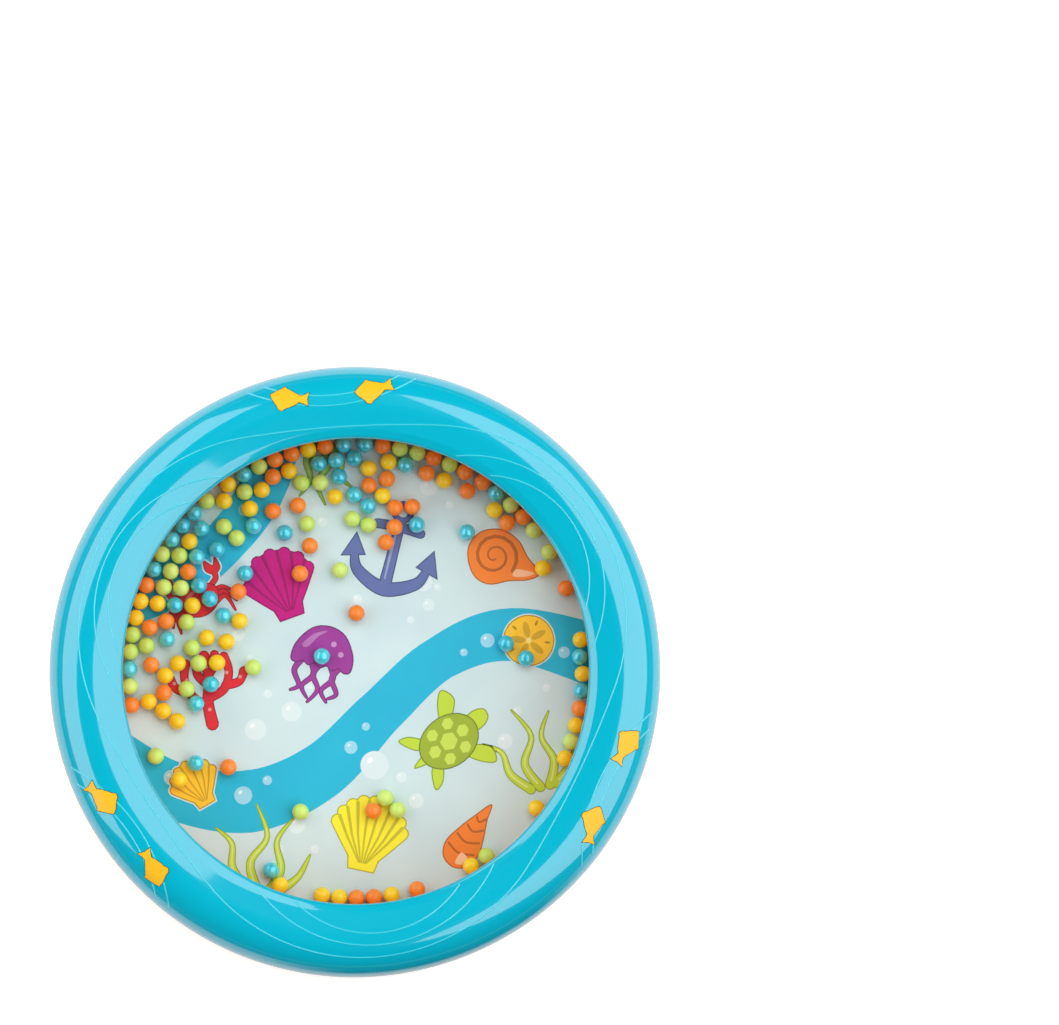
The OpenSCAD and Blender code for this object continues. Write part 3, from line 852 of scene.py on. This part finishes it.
def make_screws():
    """Six pan-head screws with a cross recess, in the posts' counterbores."""
    bm = bmesh.new()
    turn_section(bm, screw_section(), SCREW_STEPS, closed=False)
    bmesh.ops.remove_doubles(bm, verts=bm.verts, dist=1e-7)
    first = bm.verts[:] + bm.edges[:] + bm.faces[:]
    places = list(post_places())
    for place in places[1:]:
        copy = bmesh.ops.duplicate(bm, geom=first)["geom"]
        bmesh.ops.translate(bm, verts=only_verts(copy), vec=place)
    bmesh.ops.translate(bm, verts=only_verts(first), vec=places[0])
    screws = new_object("rim_screw_set", bm)
    for length, width in ((RECESS_L, RECESS_W), (RECESS_W, RECESS_L)):
        cut_by(screws, recess_cutter(length, width))
    finish_piece(screws, STEEL, "drum", "screw_steel", "rim_screws")


# Beads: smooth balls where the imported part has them

def ball_centres(node):
    """Centres of the separate balls in a CAD node, from a merged copy of its mesh."""
    bm = bmesh.new()
    bm.from_mesh(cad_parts[node].data)
    bmesh.ops.remove_doubles(bm, verts=bm.verts, dist=1e-6)
    left = set(bm.verts)
    centres = []
    while left:
        wave = [left.pop()]
        low, high = wave[0].co.copy(), wave[0].co.copy()
        while wave:
            here = wave.pop()
            low = Vector(map(min, low, here.co))
            high = Vector(map(max, high, here.co))
            for edge in here.link_edges:
                other = edge.other_vert(here)
                if other in left:
                    left.remove(other)
                    wave.append(other)
        centres.append((low + high) / 2)
    bm.free()
    return sorted(centres, key=lambda c: (round(c.x, 5), round(c.y, 5)))


def make_balls(name, centres, colour, body, node, draw):
    """One piece of smooth balls, each with its own tone and its own turn."""
    bm = bmesh.new()
    tone = bm.verts.layers.float.new("tone")
    for centre in centres:
        turn = Matrix.Rotation(draw.uniform(0, math.tau), 4, Vector((draw.random(), draw.random(), 1)))
        ball = bmesh.ops.create_icosphere(bm, subdivisions=3, radius=BEAD_R,
                                          matrix=Matrix.Translation(centre) @ turn)
        shade = draw.random()
        for v in ball["verts"]:
            v[tone] = shade
    finish_piece(new_object(name, bm), BEADS[colour], body, f"bead_{colour}", node, sharp=90)


# One more orange bead at the wall, as a share of the chamber's radius
WALL_BEAD_SHARE = (0.889, 0.349)


def make_beads():
    """The four groups of the bead bed, and the eight beads that roll by themselves."""
    draw = random.Random(11)
    for colour in ("orange", "yellow", "lime", "blue"):
        node = f"{colour}_beads"
        centres = ball_centres(node)
        if colour == "orange":
            x, y = WALL_BEAD_SHARE
            centres.append(Vector((x * CHAMBER_R, y * CHAMBER_R, centres[0].z)))
        make_balls(f"{node}_loose", centres, colour, "bead_bed", node, draw)
    loose_colours = ("orange", "lime", "lime", "blue", "orange", "blue", "lime", "yellow")
    for i, colour in enumerate(loose_colours, 1):
        node = f"loose_bead_{i}"
        make_balls(f"rolling_ball_{i}", ball_centres(node), colour, f"rolling_bead_{i}", node, draw)


# The sea print on the rear head: flat inks in thin layers, drawn in millimetres from the middle
INK_T = 0.01 * MM
# Widths of a figure's outline and of the bare edge round it
OUTLINE_W = 0.4
THIN_OUTLINE_W = 0.3
HALO_W = 0.65
# Each patch of a figure lies this share of a layer over the last, so that none share a plane
PART_STEP = 0.08
BUBBLE_STEP = 0.02
# Layers that the patches start on
WEED_LAYER = 3
VEIN_LAYER = 6
BUBBLE_LAYER = 2.2
BAND_BUBBLE_LAYER = 2.76
FIGURE_LAYER = 4
DETAIL_LAYER = 7
GLINT_LAYER = 7.5
MARK_LAYER = 8
TOP_LAYER = 10
# Bare edge left round the print, and the step along it where a patch is cut off
PRINT_MARGIN = 0.3 * MM
MARGIN_STEP = math.radians(2)

# Inks as they show on a screen
BARE = (207, 229, 231)
PALE_BUBBLE = (222, 238, 239)
BAND_BUBBLE = (158, 216, 236)
BAND_BLUE = (32, 184, 217)
SLATE = (98, 114, 170)
MAGENTA = (196, 2, 126)
CRIMSON = (230, 38, 48)
ORANGE = (250, 134, 44)
LEMON = (252, 240, 48)
GOLD = (255, 200, 40)
PURPLE = (158, 56, 152)
LIME = (196, 222, 58)
LEAF = (150, 196, 74)


def darker(colour, share=0.72):
    """A colour for a figure's own outline and its drawn lines."""
    return tuple(v * share for v in colour)


def paler(colour, share=0.35):
    """A colour for the light side of a figure."""
    return tuple(v + (255 - v) * share for v in colour)


def smooth_path(points, closed=True, steps=7):
    """A smooth curve through a few points."""
    points = [Vector(p) for p in points]
    count = len(points)
    out = []
    for i in range(count if closed else count - 1):
        if closed:
            a, b, c, d = (points[(i + k) % count] for k in (-1, 0, 1, 2))
        else:
            a, b, c, d = (points[min(max(i + k, 0), count - 1)] for k in (-1, 0, 1, 2))
        for step in range(steps):
            t = step / steps
            out.append(0.5 * (2 * b + (c - a) * t + (2 * a - 5 * b + 4 * c - d) * t ** 2
                              + (3 * b - a - 3 * c + d) * t ** 3))
    if not closed:
        out.append(points[-1])
    return out


def ring(centre, radius, squash=1.0, turn=0, steps=28):
    """Points round an oval."""
    spin = Matrix.Rotation(math.radians(turn), 2)
    return [Vector(centre) + spin @ Vector((radius * math.cos(math.tau * i / steps),
                                            radius * squash * math.sin(math.tau * i / steps)))
            for i in range(steps)]


def ribbon(path, widths):
    """Outline of a strip along an open path, with round ends."""
    count = len(path)
    left, right = [], []
    for i, here in enumerate(path):
        side = outward(path[max(i - 1, 0)], path[min(i + 1, count - 1)])
        place = i / (count - 1) * (len(widths) - 1)
        low = min(int(place), len(widths) - 2)
        half = (widths[low] + (widths[low + 1] - widths[low]) * (place - low)) / 2
        right.append(here + side * half)
        left.append(here - side * half)
    end = round_end(left[-1], right[-1])
    start = round_end(right[0], left[0])
    return right + end + left[::-1] + start


def within(points, reach):
    """The part of an outline inside a circle round the middle, closed along the circle."""
    start = next(i for i, p in enumerate(points) if p.length < reach)
    points = points[start:] + points[:start]
    kept = []
    for a, b in zip(points, points[1:] + points[:1]):
        if a.length < reach:
            kept.append(a)
        if (a.length < reach) == (b.length < reach):
            continue
        edge = next(p for p in intersect_line_sphere_2d(a, b, Vector((0, 0)), reach) if p is not None)
        if a.length >= reach:
            left = kept[-1]
            sweep = left.angle_signed(edge)
            steps = math.ceil(abs(sweep) / MARGIN_STEP)
            kept += [Matrix.Rotation(-sweep * i / steps, 2) @ left for i in range(1, steps)]
        kept.append(edge)
    return kept


def round_end(left, right):
    """Half a circle from the right to the left of a strip's end."""
    middle, half = (left + right) / 2, (right - left) / 2
    return [middle + Matrix.Rotation(math.pi * i / 5, 2) @ half for i in range(1, 5)]


def at(x, y, turn, size):
    """Places a figure's own points on the print."""
    spin = Matrix.Rotation(math.radians(turn), 2)
    return lambda points: [Vector((x, y)) + spin @ (Vector(p) * size) for p in points]


class SeaPrint:
    """The print's inks, each patch flat, with its colour stored at its corners."""

    def __init__(self):
        self.bm = bmesh.new()
        self.ink = self.bm.verts.layers.float_color.new("ink")

    def fill(self, points, colour, layer):
        """One patch of ink, kept inside the sheet's visible part."""
        corners = []
        for p in within([p * MM for p in counterclockwise(points)], CHAMBER_R - PRINT_MARGIN):
            v = self.bm.verts.new((p.x, p.y, PRINT_Z + layer * INK_T))
            v[self.ink] = linear(*colour)
            corners.append(v)
        face = self.bm.faces.new(corners)
        face.normal_update()
        bmesh.ops.triangulate(self.bm, faces=[face], quad_method="BEAUTY", ngon_method="BEAUTY")

    def figure(self, parts, colour, layer=FIGURE_LAYER, outline=OUTLINE_W, halo=HALO_W):
        """A figure of one or more patches, with a darker outline and a thin bare edge round that."""
        passes = [(outline / 2, darker(colour)), (-outline / 2, colour)]
        if halo:
            passes.insert(0, (halo, BARE))
        for level, (gap, ink) in enumerate(passes, 3 - len(passes)):
            for i, points in enumerate(parts):
                shape = untangled(grown(counterclockwise(points), gap))
                self.fill(shape, ink, layer + level + i * PART_STEP)

    def bubbles(self, places, colour, layer):
        """Bubbles, each with a lighter glint."""
        for i, (x, y, radius) in enumerate(places):
            over = layer + i * BUBBLE_STEP
            self.fill(ring((x, y), radius, steps=24), colour, over)
            self.fill(ring((x - radius * 0.32, y + radius * 0.34), radius * 0.26, 0.7, 45, 12),
                      paler(colour, 0.7), over + BUBBLE_STEP / 2)


def draw_bands(ink):
    """Two broad currents."""
    currents = (([(-84, -26), (-62, -40), (-36, -44), (-12, -34), (8, -14), (28, 4), (52, 12), (84, 4)],
                 (16, 19, 21, 19, 16, 15, 18, 22)),
                ([(-84, 22), (-62, 30), (-44, 44), (-32, 62), (-28, 84)], (20, 17, 15, 16, 20)))
    for level, (path, widths) in enumerate(currents, 1):
        ink.fill(ribbon(smooth_path(path, closed=False, steps=9), widths), BAND_BLUE, level)


def draw_weed(ink, place, blades, colour):
    """A tuft of weed: long blades that taper, with a lighter vein."""
    paths = [smooth_path(place(blade), closed=False, steps=8) for blade in blades]
    ink.figure([ribbon(path, (3.2, 2.8, 2.1, 1.4, 0.5)) for path in paths], colour, WEED_LAYER,
               THIN_OUTLINE_W, 0)
    for i, path in enumerate(paths):
        ink.fill(ribbon(path[2:-6], (0.7, 0.6, 0.3)), paler(colour, 0.4), VEIN_LAYER + i * PART_STEP)


def draw_anchor(ink, place, colour):
    """An anchor with a ring, a stock and two flukes."""
    arms = smooth_path([(-9.4, -2.2), (-7.4, -6.6), (0, -9.6), (7.4, -6.6), (9.4, -2.2)], False)
    parts = [ring((0, 10.2), 2.7),
             ribbon(smooth_path([(-5.6, 6.0), (0, 6.4), (5.6, 6.0)], False), (2.2, 2.4, 2.2)),
             ribbon([Vector((0, 8.4)), Vector((0, 0)), Vector((0, -8.8))], (2.4, 2.6, 3.0)),
             ribbon(arms, (1.6, 2.8, 3.6, 2.8, 1.6))]
    for sign in (-1, 1):
        parts.append([Vector(p) for p in ((12.4 * sign, -4.0), (10.0 * sign, 2.6), (6.6 * sign, -2.4))])
    ink.figure([place(part) for part in parts], colour)
    ink.fill(place(ring((0, 10.2), 1.25)), BARE, DETAIL_LAYER)
    ink.fill(place(ribbon([Vector((-0.4, 7.2)), Vector((-0.5, 0)), Vector((-0.4, -7.0))], (0.6, 0.7, 0.4))),
             paler(colour), GLINT_LAYER)


def draw_scallop(ink, place, colour, ribs=7):
    """A scallop shell: a fan with ribs, scalloped round its edge, and two ears."""
    ears = [Vector(p) for p in ((-4.0, -6.6), (-3.4, -9.6), (3.4, -9.6), (4.0, -6.6))]
    edge = []
    for i in range(ribs):
        turn = math.radians(168 - i * 156 / (ribs - 1))
        middle = Vector((math.cos(turn) * 8.6, math.sin(turn) * 8.2))
        edge += [middle + Matrix.Rotation(turn + math.radians(a), 2) @ Vector((1.75, 0))
                 for a in (62, 30, 0, -30, -62)]
    fan = [Vector((-2.4, -8.4)), Vector((-6.4, -3.6))] + edge + [Vector((6.4, -3.6)), Vector((2.4, -8.4))]
    ink.figure([place(ears), place(fan)], colour)
    for i in range(ribs - 1):
        turn = math.radians(168 - (i + 0.5) * 156 / (ribs - 1))
        tip = Vector((math.cos(turn) * 8.9, math.sin(turn) * 8.5))
        low = Vector((tip.x * 0.62, tip.y * 0.35 - 3.0))
        ink.fill(place(ribbon([Vector((tip.x * 0.12, -7.6)), low, tip], (0.35, 0.6, 0.9))),
                 darker(colour, 0.8), DETAIL_LAYER + i * PART_STEP)


def draw_spiral_shell(ink, place, colour):
    """A round shell with a spiral line and a flared mouth."""
    outline = smooth_path([(-7.6, 0.6), (-6.4, 5.0), (-2.4, 7.8), (3.0, 7.2), (6.8, 3.4), (8.4, -1.6),
                           (10.6, -6.4), (7.4, -7.6), (2.2, -6.8), (-3.2, -6.6), (-6.6, -4.0)])
    ink.figure([place(outline)], colour)
    turns = [Vector((math.cos(t) * r - 0.4, math.sin(t) * r + 0.6))
             for t, r in ((-0.9 + i * 0.45, 6.4 * (1 - i / 31)) for i in range(28))]
    ink.fill(place(ribbon(turns, (1.0, 0.9, 0.6, 0.4))), darker(colour, 0.76), DETAIL_LAYER)
    ink.fill(place(smooth_path([(4.6, -4.2), (8.0, -5.4), (9.2, -6.4), (6.4, -6.6), (3.4, -5.8)])),
             paler(colour, 0.5), GLINT_LAYER)


def draw_coral(ink, place, colour):
    """A branching coral."""
    limbs = ([(0, -9), (-0.4, -3), (0.6, 3), (0.2, 9.5)], [(-0.3, -4), (-4.2, -1), (-5.8, 4), (-5.0, 8)],
             [(0.3, -2), (4.4, 0), (6.2, 4.4), (5.4, 8.6)], [(-4.6, 0), (-8.2, 1.6), (-9.6, 4.6)],
             [(4.8, 0.8), (8.6, 1.4), (10.2, 4.0)], [(0.4, 4), (2.6, 6.6), (3.0, 9.4)],
             [(0.2, 1.6), (-2.2, 4.6), (-2.2, 8.0)])
    widths = [(3.2, 2.8, 2.4, 2.6)] + [(2.2, 2.2, 2.0, 2.3)] * (len(limbs) - 1)
    ink.figure([place(ribbon(smooth_path(limb, closed=False), wide)) for limb, wide in zip(limbs, widths)],
               colour)
    for x, y in ((-0.2, -5), (0.4, 0.2), (0.4, 6.4), (-5.2, 3.6), (5.6, 4.2), (-8.6, 3.2), (9.0, 2.6)):
        ink.fill(place(ring((x, y), 0.5, steps=10)), paler(colour, 0.5), DETAIL_LAYER)


def draw_jelly(ink, place, colour):
    """A bell with a scalloped hem and trailing threads."""
    threads = []
    for i, x in enumerate((-5.4, -2.8, 0, 2.8, 5.4)):
        sway = 1.5 if i % 2 else -1.4
        path = [(x, -0.6), (x + sway, -4.2), (x - sway * 0.6, -8.0), (x + sway * 0.8, -12.0 + abs(x) * 0.4)]
        threads.append(place(ribbon(smooth_path(path, False), (1.7, 1.5, 1.2, 0.7))))
    ink.figure(threads, colour, outline=THIN_OUTLINE_W)
    hem = [Vector((-8.6 + i * 1.72, -1.0 - (0.9 if i % 2 else 0))) for i in range(11)]
    bell = smooth_path([(8.2, 3.4), (4.8, 8.4), (0, 10), (-4.8, 8.4), (-8.2, 3.4)] + hem, steps=4)
    ink.figure([place(bell)], colour, DETAIL_LAYER, halo=0)
    ink.fill(place(smooth_path([(-6.4, 3.4), (-3.8, 7.0), (-0.4, 8.6), (-2.6, 6.4), (-4.8, 3.0)])),
             paler(colour, 0.3), TOP_LAYER)
    for x, y in ((2.2, 5.4), (4.8, 3.0), (0.4, 2.6)):
        ink.fill(place(ring((x, y), 0.8, steps=12)), paler(colour, 0.45), TOP_LAYER)


def draw_turtle(ink, place, colour):
    """A turtle from above: shell with plates, four flippers, tail and a plain head."""
    limbs = [[(7.4, -2.0), (10.6, -2.5), (13.0, -1.2), (13.2, 1.2), (10.6, 2.5), (7.4, 2.0)],
             [(-8.0, 1.2), (-12.2, 0), (-8.0, -1.2)]]
    for sign in (-1, 1):
        limbs += [[(4.0, 4.6 * sign), (8.4, 8.4 * sign), (7.0, 12.6 * sign), (3.6, 9.8 * sign),
                   (1.4, 5.4 * sign)],
                  [(-5.4, 4.0 * sign), (-8.2, 7.8 * sign), (-11.2, 8.4 * sign), (-8.6, 3.4 * sign)]]
    ink.figure([place(smooth_path(limb)) for limb in limbs], colour)
    ink.figure([place(ring((0, 0), 9.0, 0.78))], darker(colour, 0.82), DETAIL_LAYER, halo=0)
    for x, y, radius in ((0, 0, 2.7), (4.9, 0, 1.9), (-4.9, 0, 1.9), (2.7, 4.1, 1.8), (-2.7, 4.1, 1.8),
                         (2.7, -4.1, 1.8), (-2.7, -4.1, 1.8)):
        ink.fill(place(ring((x, y), radius, 0.92, 30, 6)), paler(colour, 0.15), TOP_LAYER)


def draw_cone_shell(ink, place, colour):
    """A tall pointed shell with bands."""
    outline = smooth_path([(0.2, 10.8), (1.6, 6.4), (3.4, 2.2), (5.0, -2.8), (4.4, -7.2), (1.0, -9.6),
                           (-3.0, -8.6), (-4.8, -4.6), (-3.6, 1.0), (-1.8, 6.2)])
    ink.figure([place(outline)], colour)
    for y, half in ((6.2, 1.3), (3.0, 2.3), (-0.6, 3.3), (-4.2, 3.9)):
        path = smooth_path(place([(-half, y - 0.5), (0, y - 1.3), (half, y + 0.5)]), closed=False)
        ink.fill(ribbon(path, (0.75, 0.75)), darker(colour, 0.76), DETAIL_LAYER)
    ink.fill(place(smooth_path([(0.6, -5.0), (3.4, -5.6), (3.2, -7.2), (0.8, -8.4)])), paler(colour, 0.55),
             MARK_LAYER)


def draw_sand_dollar(ink, place, colour):
    """A flat round urchin with five petals."""
    ink.figure([place(ring((0, 0), 7.4))], colour)
    for i in range(5):
        turn = math.radians(90 + i * 72)
        centre = Vector((math.cos(turn), math.sin(turn))) * 3.3
        ink.fill(place(ring(centre, 2.4, 0.42, 90 + i * 72, 16)), darker(colour, 0.84),
                 DETAIL_LAYER + i * PART_STEP)
        slot = Vector((math.cos(turn + 0.63), math.sin(turn + 0.63))) * 5.6
        ink.fill(place(ring(slot, 0.9, 0.4, 90 + 36 + i * 72, 10)), darker(colour, 0.7), GLINT_LAYER)
    ink.fill(place(ring((0, 0), 0.8, steps=12)), paler(colour, 0.5), MARK_LAYER)


def draw_crab(ink, place, colour):
    """A crab from above, without a face."""
    limbs = []
    for sign in (-1, 1):
        for y0, x1, y1 in ((1.0, 11.4, -1.4), (-0.6, 11.0, -4.4), (-2.2, 9.4, -7.0)):
            leg = smooth_path([(5.0 * sign, y0), (8.4 * sign, y0 + 0.6), (x1 * sign, y1)], False)
            limbs.append(ribbon(leg, (1.5, 1.3, 0.6)))
        arm = smooth_path([(4.6 * sign, 3.0), (7.6 * sign, 4.8), (8.0 * sign, 7.0)], False)
        limbs.append(ribbon(arm, (1.7, 1.7)))
        limbs.append(smooth_path([(8.0 * sign, 6.2), (10.4 * sign, 7.6), (10.0 * sign, 11.2),
                                  (8.4 * sign, 9.0), (6.4 * sign, 11.4), (5.6 * sign, 8.2)]))
    body = smooth_path([(-6.8, 1.6), (-4.6, 4.4), (0, 5.2), (4.6, 4.4), (6.8, 1.6), (4.8, -3.0), (0, -4.8),
                        (-4.8, -3.0)])
    ink.figure([place(part) for part in limbs], colour, outline=THIN_OUTLINE_W)
    ink.figure([place(body)], colour, DETAIL_LAYER, halo=0)
    ink.fill(place(smooth_path([(-4.4, 2.2), (-1.8, 3.8), (1.6, 3.9), (-1.4, 2.7)])), paler(colour, 0.35),
             TOP_LAYER)
    for x in (-2.2, 0, 2.2):
        ink.fill(place(ring((x, -0.6), 0.5, steps=10)), darker(colour, 0.75), TOP_LAYER)


def make_sea_print():
    """The whole print, as one thin piece on the rear head."""
    ink = SeaPrint()
    draw_bands(ink)
    kelp = ([(0, 0), (-3, 8), (1, 16), (-3, 25)], [(3, 0), (6, 7), (4, 15), (8, 22)],
            [(-3, 0), (-8, 6), (-9, 13), (-14, 17)], [(5, 0), (11, 5), (14, 12)])
    draw_weed(ink, at(62, -39.5, 14, 1.1), kelp, LIME)
    draw_weed(ink, at(-33, -74, -6, 1.15), kelp, LIME)
    draw_weed(ink, at(-12, 76, 176, 0.8), kelp[:3], LEAF)
    draw_anchor(ink, at(12, 40, -14, 1.35), SLATE)
    draw_scallop(ink, at(-26, 29, 20, 1.25), MAGENTA)
    draw_spiral_shell(ink, at(47, 38, 12, 1.25), ORANGE)
    draw_coral(ink, at(-50, -7, 8, 1.25), CRIMSON)
    draw_scallop(ink, at(4, -55, -12, 1.3), LEMON, 9)
    draw_jelly(ink, at(-12, 3, -14, 1.2), PURPLE)
    draw_turtle(ink, at(31, -24, 38, 1.2), LIME)
    draw_cone_shell(ink, at(38, -56, -34, 1.2), ORANGE)
    draw_sand_dollar(ink, at(58, 10, 12, 1.15), GOLD)
    draw_crab(ink, at(-53, 23, 24, 1.05), CRIMSON)
    draw_scallop(ink, at(-54, -38, 30, 0.85), GOLD)
    ink.bubbles(((-22, -14, 3.4), (-16, -4.5, 1.9), (-30, -8, 1.5), (24, 22, 2.1), (18, 17, 1.3),
                 (27, 28, 1.2), (-40, 12, 2.2), (-36, 4, 1.2), (-4, 62, 2.4), (24, 62, 3.0), (31, 56, 1.4),
                 (15, -36, 1.8), (20, -44, 2.6), (54, -14, 1.6), (50, -24, 2.6), (-20, -52, 2.8),
                 (-14, -60, 1.5), (-26, -60, 1.7), (62, 34, 1.8), (-72, 4, 2.2), (-66, -4, 1.3),
                 (0, 24, 1.6), (-12, 50, 1.7), (64, -6, 1.4), (6, -32, 4.8), (-34, -20, 3.6), (22, 30, 3.4)),
                PALE_BUBBLE, BUBBLE_LAYER)
    ink.bubbles(((-62, -36, 2.6), (-38, -42, 3.0), (-30, -37, 1.6), (-2, -26, 2.2), (3, -19, 1.4),
                 (44, 10, 2.4), (36, 6, 1.3), (70, 6, 2.0), (-38, 54, 2.2), (-48, 38, 1.6)),
                BAND_BUBBLE, BAND_BUBBLE_LAYER)
    made = new_object("sea_print_inks", ink.bm, closed=False)
    finish_piece(made, INK, "drum", "printed_sheet", sharp=20)


make_front_rim()
make_rear_rim()
make_fish()
make_wave_lines()
make_chamber()
make_heads()
make_screws()
make_beads()
make_sea_print()


# Stage: pale table, two wide softboxes, dim room and the camera

TABLE_R = 6
TABLE_GLOW = 0.5
TABLE_DULLED = 0.4
TABLE_TONE = (0.86, 0.865, 0.87, 1)
DULLED_TONE = (0.03, 0.03, 0.03, 1)
# The front side, as seen from above: its bearing, and the turns from it over which its effect ends
FRONT_TURN = math.radians(-72)
FRONT_SPREAD = (0.35, 0.85)
# Distances from the middle over which the dulled part begins, on the front side and all round
BESIDE_SPREAD = (0.125, 0.16)
FAR_SPREAD = (0.13, 0.3)


def make_floor():
    """A pale table that keeps the drum's shadow, and is mirrored less far off and at the front, and bounces
    no light from the front: a painted dark reflection and painted shade for the room's dark side.
    """
    bm = bmesh.new()
    bmesh.ops.create_circle(bm, cap_ends=True, segments=96, radius=TABLE_R)
    made = new_object("table_top", bm, closed=False)
    finish, n, shader = new_material("pale table")
    shader.inputs["Roughness"].default_value = 1.0
    shader.inputs["Specular IOR Level"].default_value = 0.0
    path = n.add("LightPath")
    place = n.add("TexCoord").outputs["Object"]
    across = n.add("SeparateXYZ")
    n.link(place, across.inputs[0])
    away = n.add("VectorMath", operation="LENGTH")
    n.link(place, away.inputs[0])
    turn = n.maths("ARCTAN2", across.outputs["Y"], across.outputs["X"])
    front = n.spread(n.maths("ABSOLUTE", n.maths("SUBTRACT", turn, FRONT_TURN)), *FRONT_SPREAD, 1, 0)
    far = n.spread(away.outputs["Value"], *FAR_SPREAD)
    beside = n.spread(away.outputs["Value"], *BESIDE_SPREAD)
    dulled = n.maths("MAXIMUM", n.maths("MAXIMUM", n.maths("MULTIPLY", front, beside), far), TABLE_DULLED)
    # Painted dark reflection and painted shade: mirrored rays see the table dimmer, and bounced light from
    # its front is dark
    dim = n.maths("MAXIMUM", n.maths("MULTIPLY", path.outputs["Is Glossy Ray"], dulled),
                  n.maths("MULTIPLY", path.outputs["Is Diffuse Ray"], front))
    seen = n.maths("MAXIMUM", path.outputs["Is Camera Ray"],
                   n.maths("MAXIMUM", path.outputs["Is Glossy Ray"], path.outputs["Is Transmission Ray"]))
    n.link(n.mix(dim, TABLE_TONE, DULLED_TONE), shader.inputs["Base Color"])
    shader.inputs["Emission Color"].default_value = (1, 1, 1, 1)
    glow = n.maths("MULTIPLY", seen, n.maths("SUBTRACT", 1.0, dim))
    n.link(n.maths("MULTIPLY", glow, TABLE_GLOW), shader.inputs["Emission Strength"])
    made.data.materials.append(finish)


def make_softbox(name, inner, outer, ends, azimuth, radiance, shines=True):
    """A rectangular softbox between two edges, given as (distance, height), turned by azimuth.

    One that doesn't shine lights the drum, and isn't mirrored in it.
    """
    lamp = bpy.data.lights.new(name, "AREA")
    lamp.shape = "RECTANGLE"
    along = Vector((outer[0] - inner[0], 0, outer[1] - inner[1]))
    lamp.size, lamp.size_y = along.length, ends[1] - ends[0]
    lamp.energy = radiance * math.pi * lamp.size * lamp.size_y
    middle = Vector(((inner[0] + outer[0]) / 2, sum(ends) / 2, (inner[1] + outer[1]) / 2))
    across = Vector((0, 1, 0))
    axes = Matrix((along.normalized(), across, along.normalized().cross(across))).transposed().to_4x4()
    made = bpy.data.objects.new(name, lamp)
    made.matrix_world = Matrix.Rotation(math.radians(azimuth), 4, "Z") @ Matrix.Translation(middle) @ axes
    made.visible_camera = False
    made.visible_transmission = False
    made.visible_glossy = shines
    bpy.context.scene.collection.objects.link(made)


LAMP_RADIANCE = 1.78
TOP_RADIANCE = 3.6
ROOM_FILL = 0.12
# Brightness of the room in what shines, at the table's level and from this rise upwards
WALL_SHINE = (0.5, 0.02)
WALL_RISE = 0.05


def make_room():
    """A dim room: white behind the table's edge, dark overhead for what shines."""
    world = bpy.data.worlds.new("studio")
    bpy.context.scene.world = world
    world.use_nodes = True
    n = Nodes(world.node_tree)
    back = world.node_tree.nodes["Background"]
    path = n.add("LightPath")
    ray = n.add("TexCoord").outputs["Generated"]
    up = n.add("SeparateXYZ")
    n.link(ray, up.inputs[0])
    wall = n.spread(up.outputs["Z"], 0.0, WALL_RISE, *WALL_SHINE)
    shining = n.maths("MAXIMUM", path.outputs["Is Glossy Ray"], path.outputs["Is Transmission Ray"])
    strength = n.maths("ADD", path.outputs["Is Camera Ray"], n.maths(
        "ADD", n.maths("MULTIPLY", shining, wall),
        n.maths("MULTIPLY", path.outputs["Is Diffuse Ray"], ROOM_FILL)))
    n.link(strength, back.inputs["Strength"])
    back.inputs["Color"].default_value = (1, 1, 1, 1)


# The camera hangs straight over the drum, and looks past it, as the photograph frames it
CAMERA_H = DRUM_H + 0.9
AIM = Vector((0.05675, 0.05206, DRUM_H))
LENS = 92.766


def make_camera():
    """Camera over the drum's axis, with the photograph's up along +Y."""
    data = bpy.data.cameras.new("camera")
    data.lens = LENS
    data.sensor_width = 36
    data.clip_start, data.clip_end = 0.05, 20
    made = bpy.data.objects.new("camera", data)
    place = Vector((0, 0, CAMERA_H))
    back = (place - AIM).normalized()
    right = Vector((0, 1, 0)).cross(back).normalized()
    up = back.cross(right)
    made.matrix_world = Matrix.Translation(place) @ Matrix((right, up, back)).transposed().to_4x4()
    bpy.context.scene.collection.objects.link(made)
    bpy.context.scene.camera = made


make_floor()
make_softbox("right_softbox", (0.246, 1.97), (1.646, 0.41), (-1.2, 1.65), 0, LAMP_RADIANCE)
make_softbox("left_softbox", (0.66, 0.95), (0.99, 0.2), (-0.95, 0.95), 165, LAMP_RADIANCE)
make_softbox("top_softbox", (0.3, 1.66), (1.0, 1.3), (-0.4, 0.4), 90, TOP_RADIANCE, shines=False)
make_room()
make_camera()

bpy.context.scene.view_settings.view_transform = "Standard"
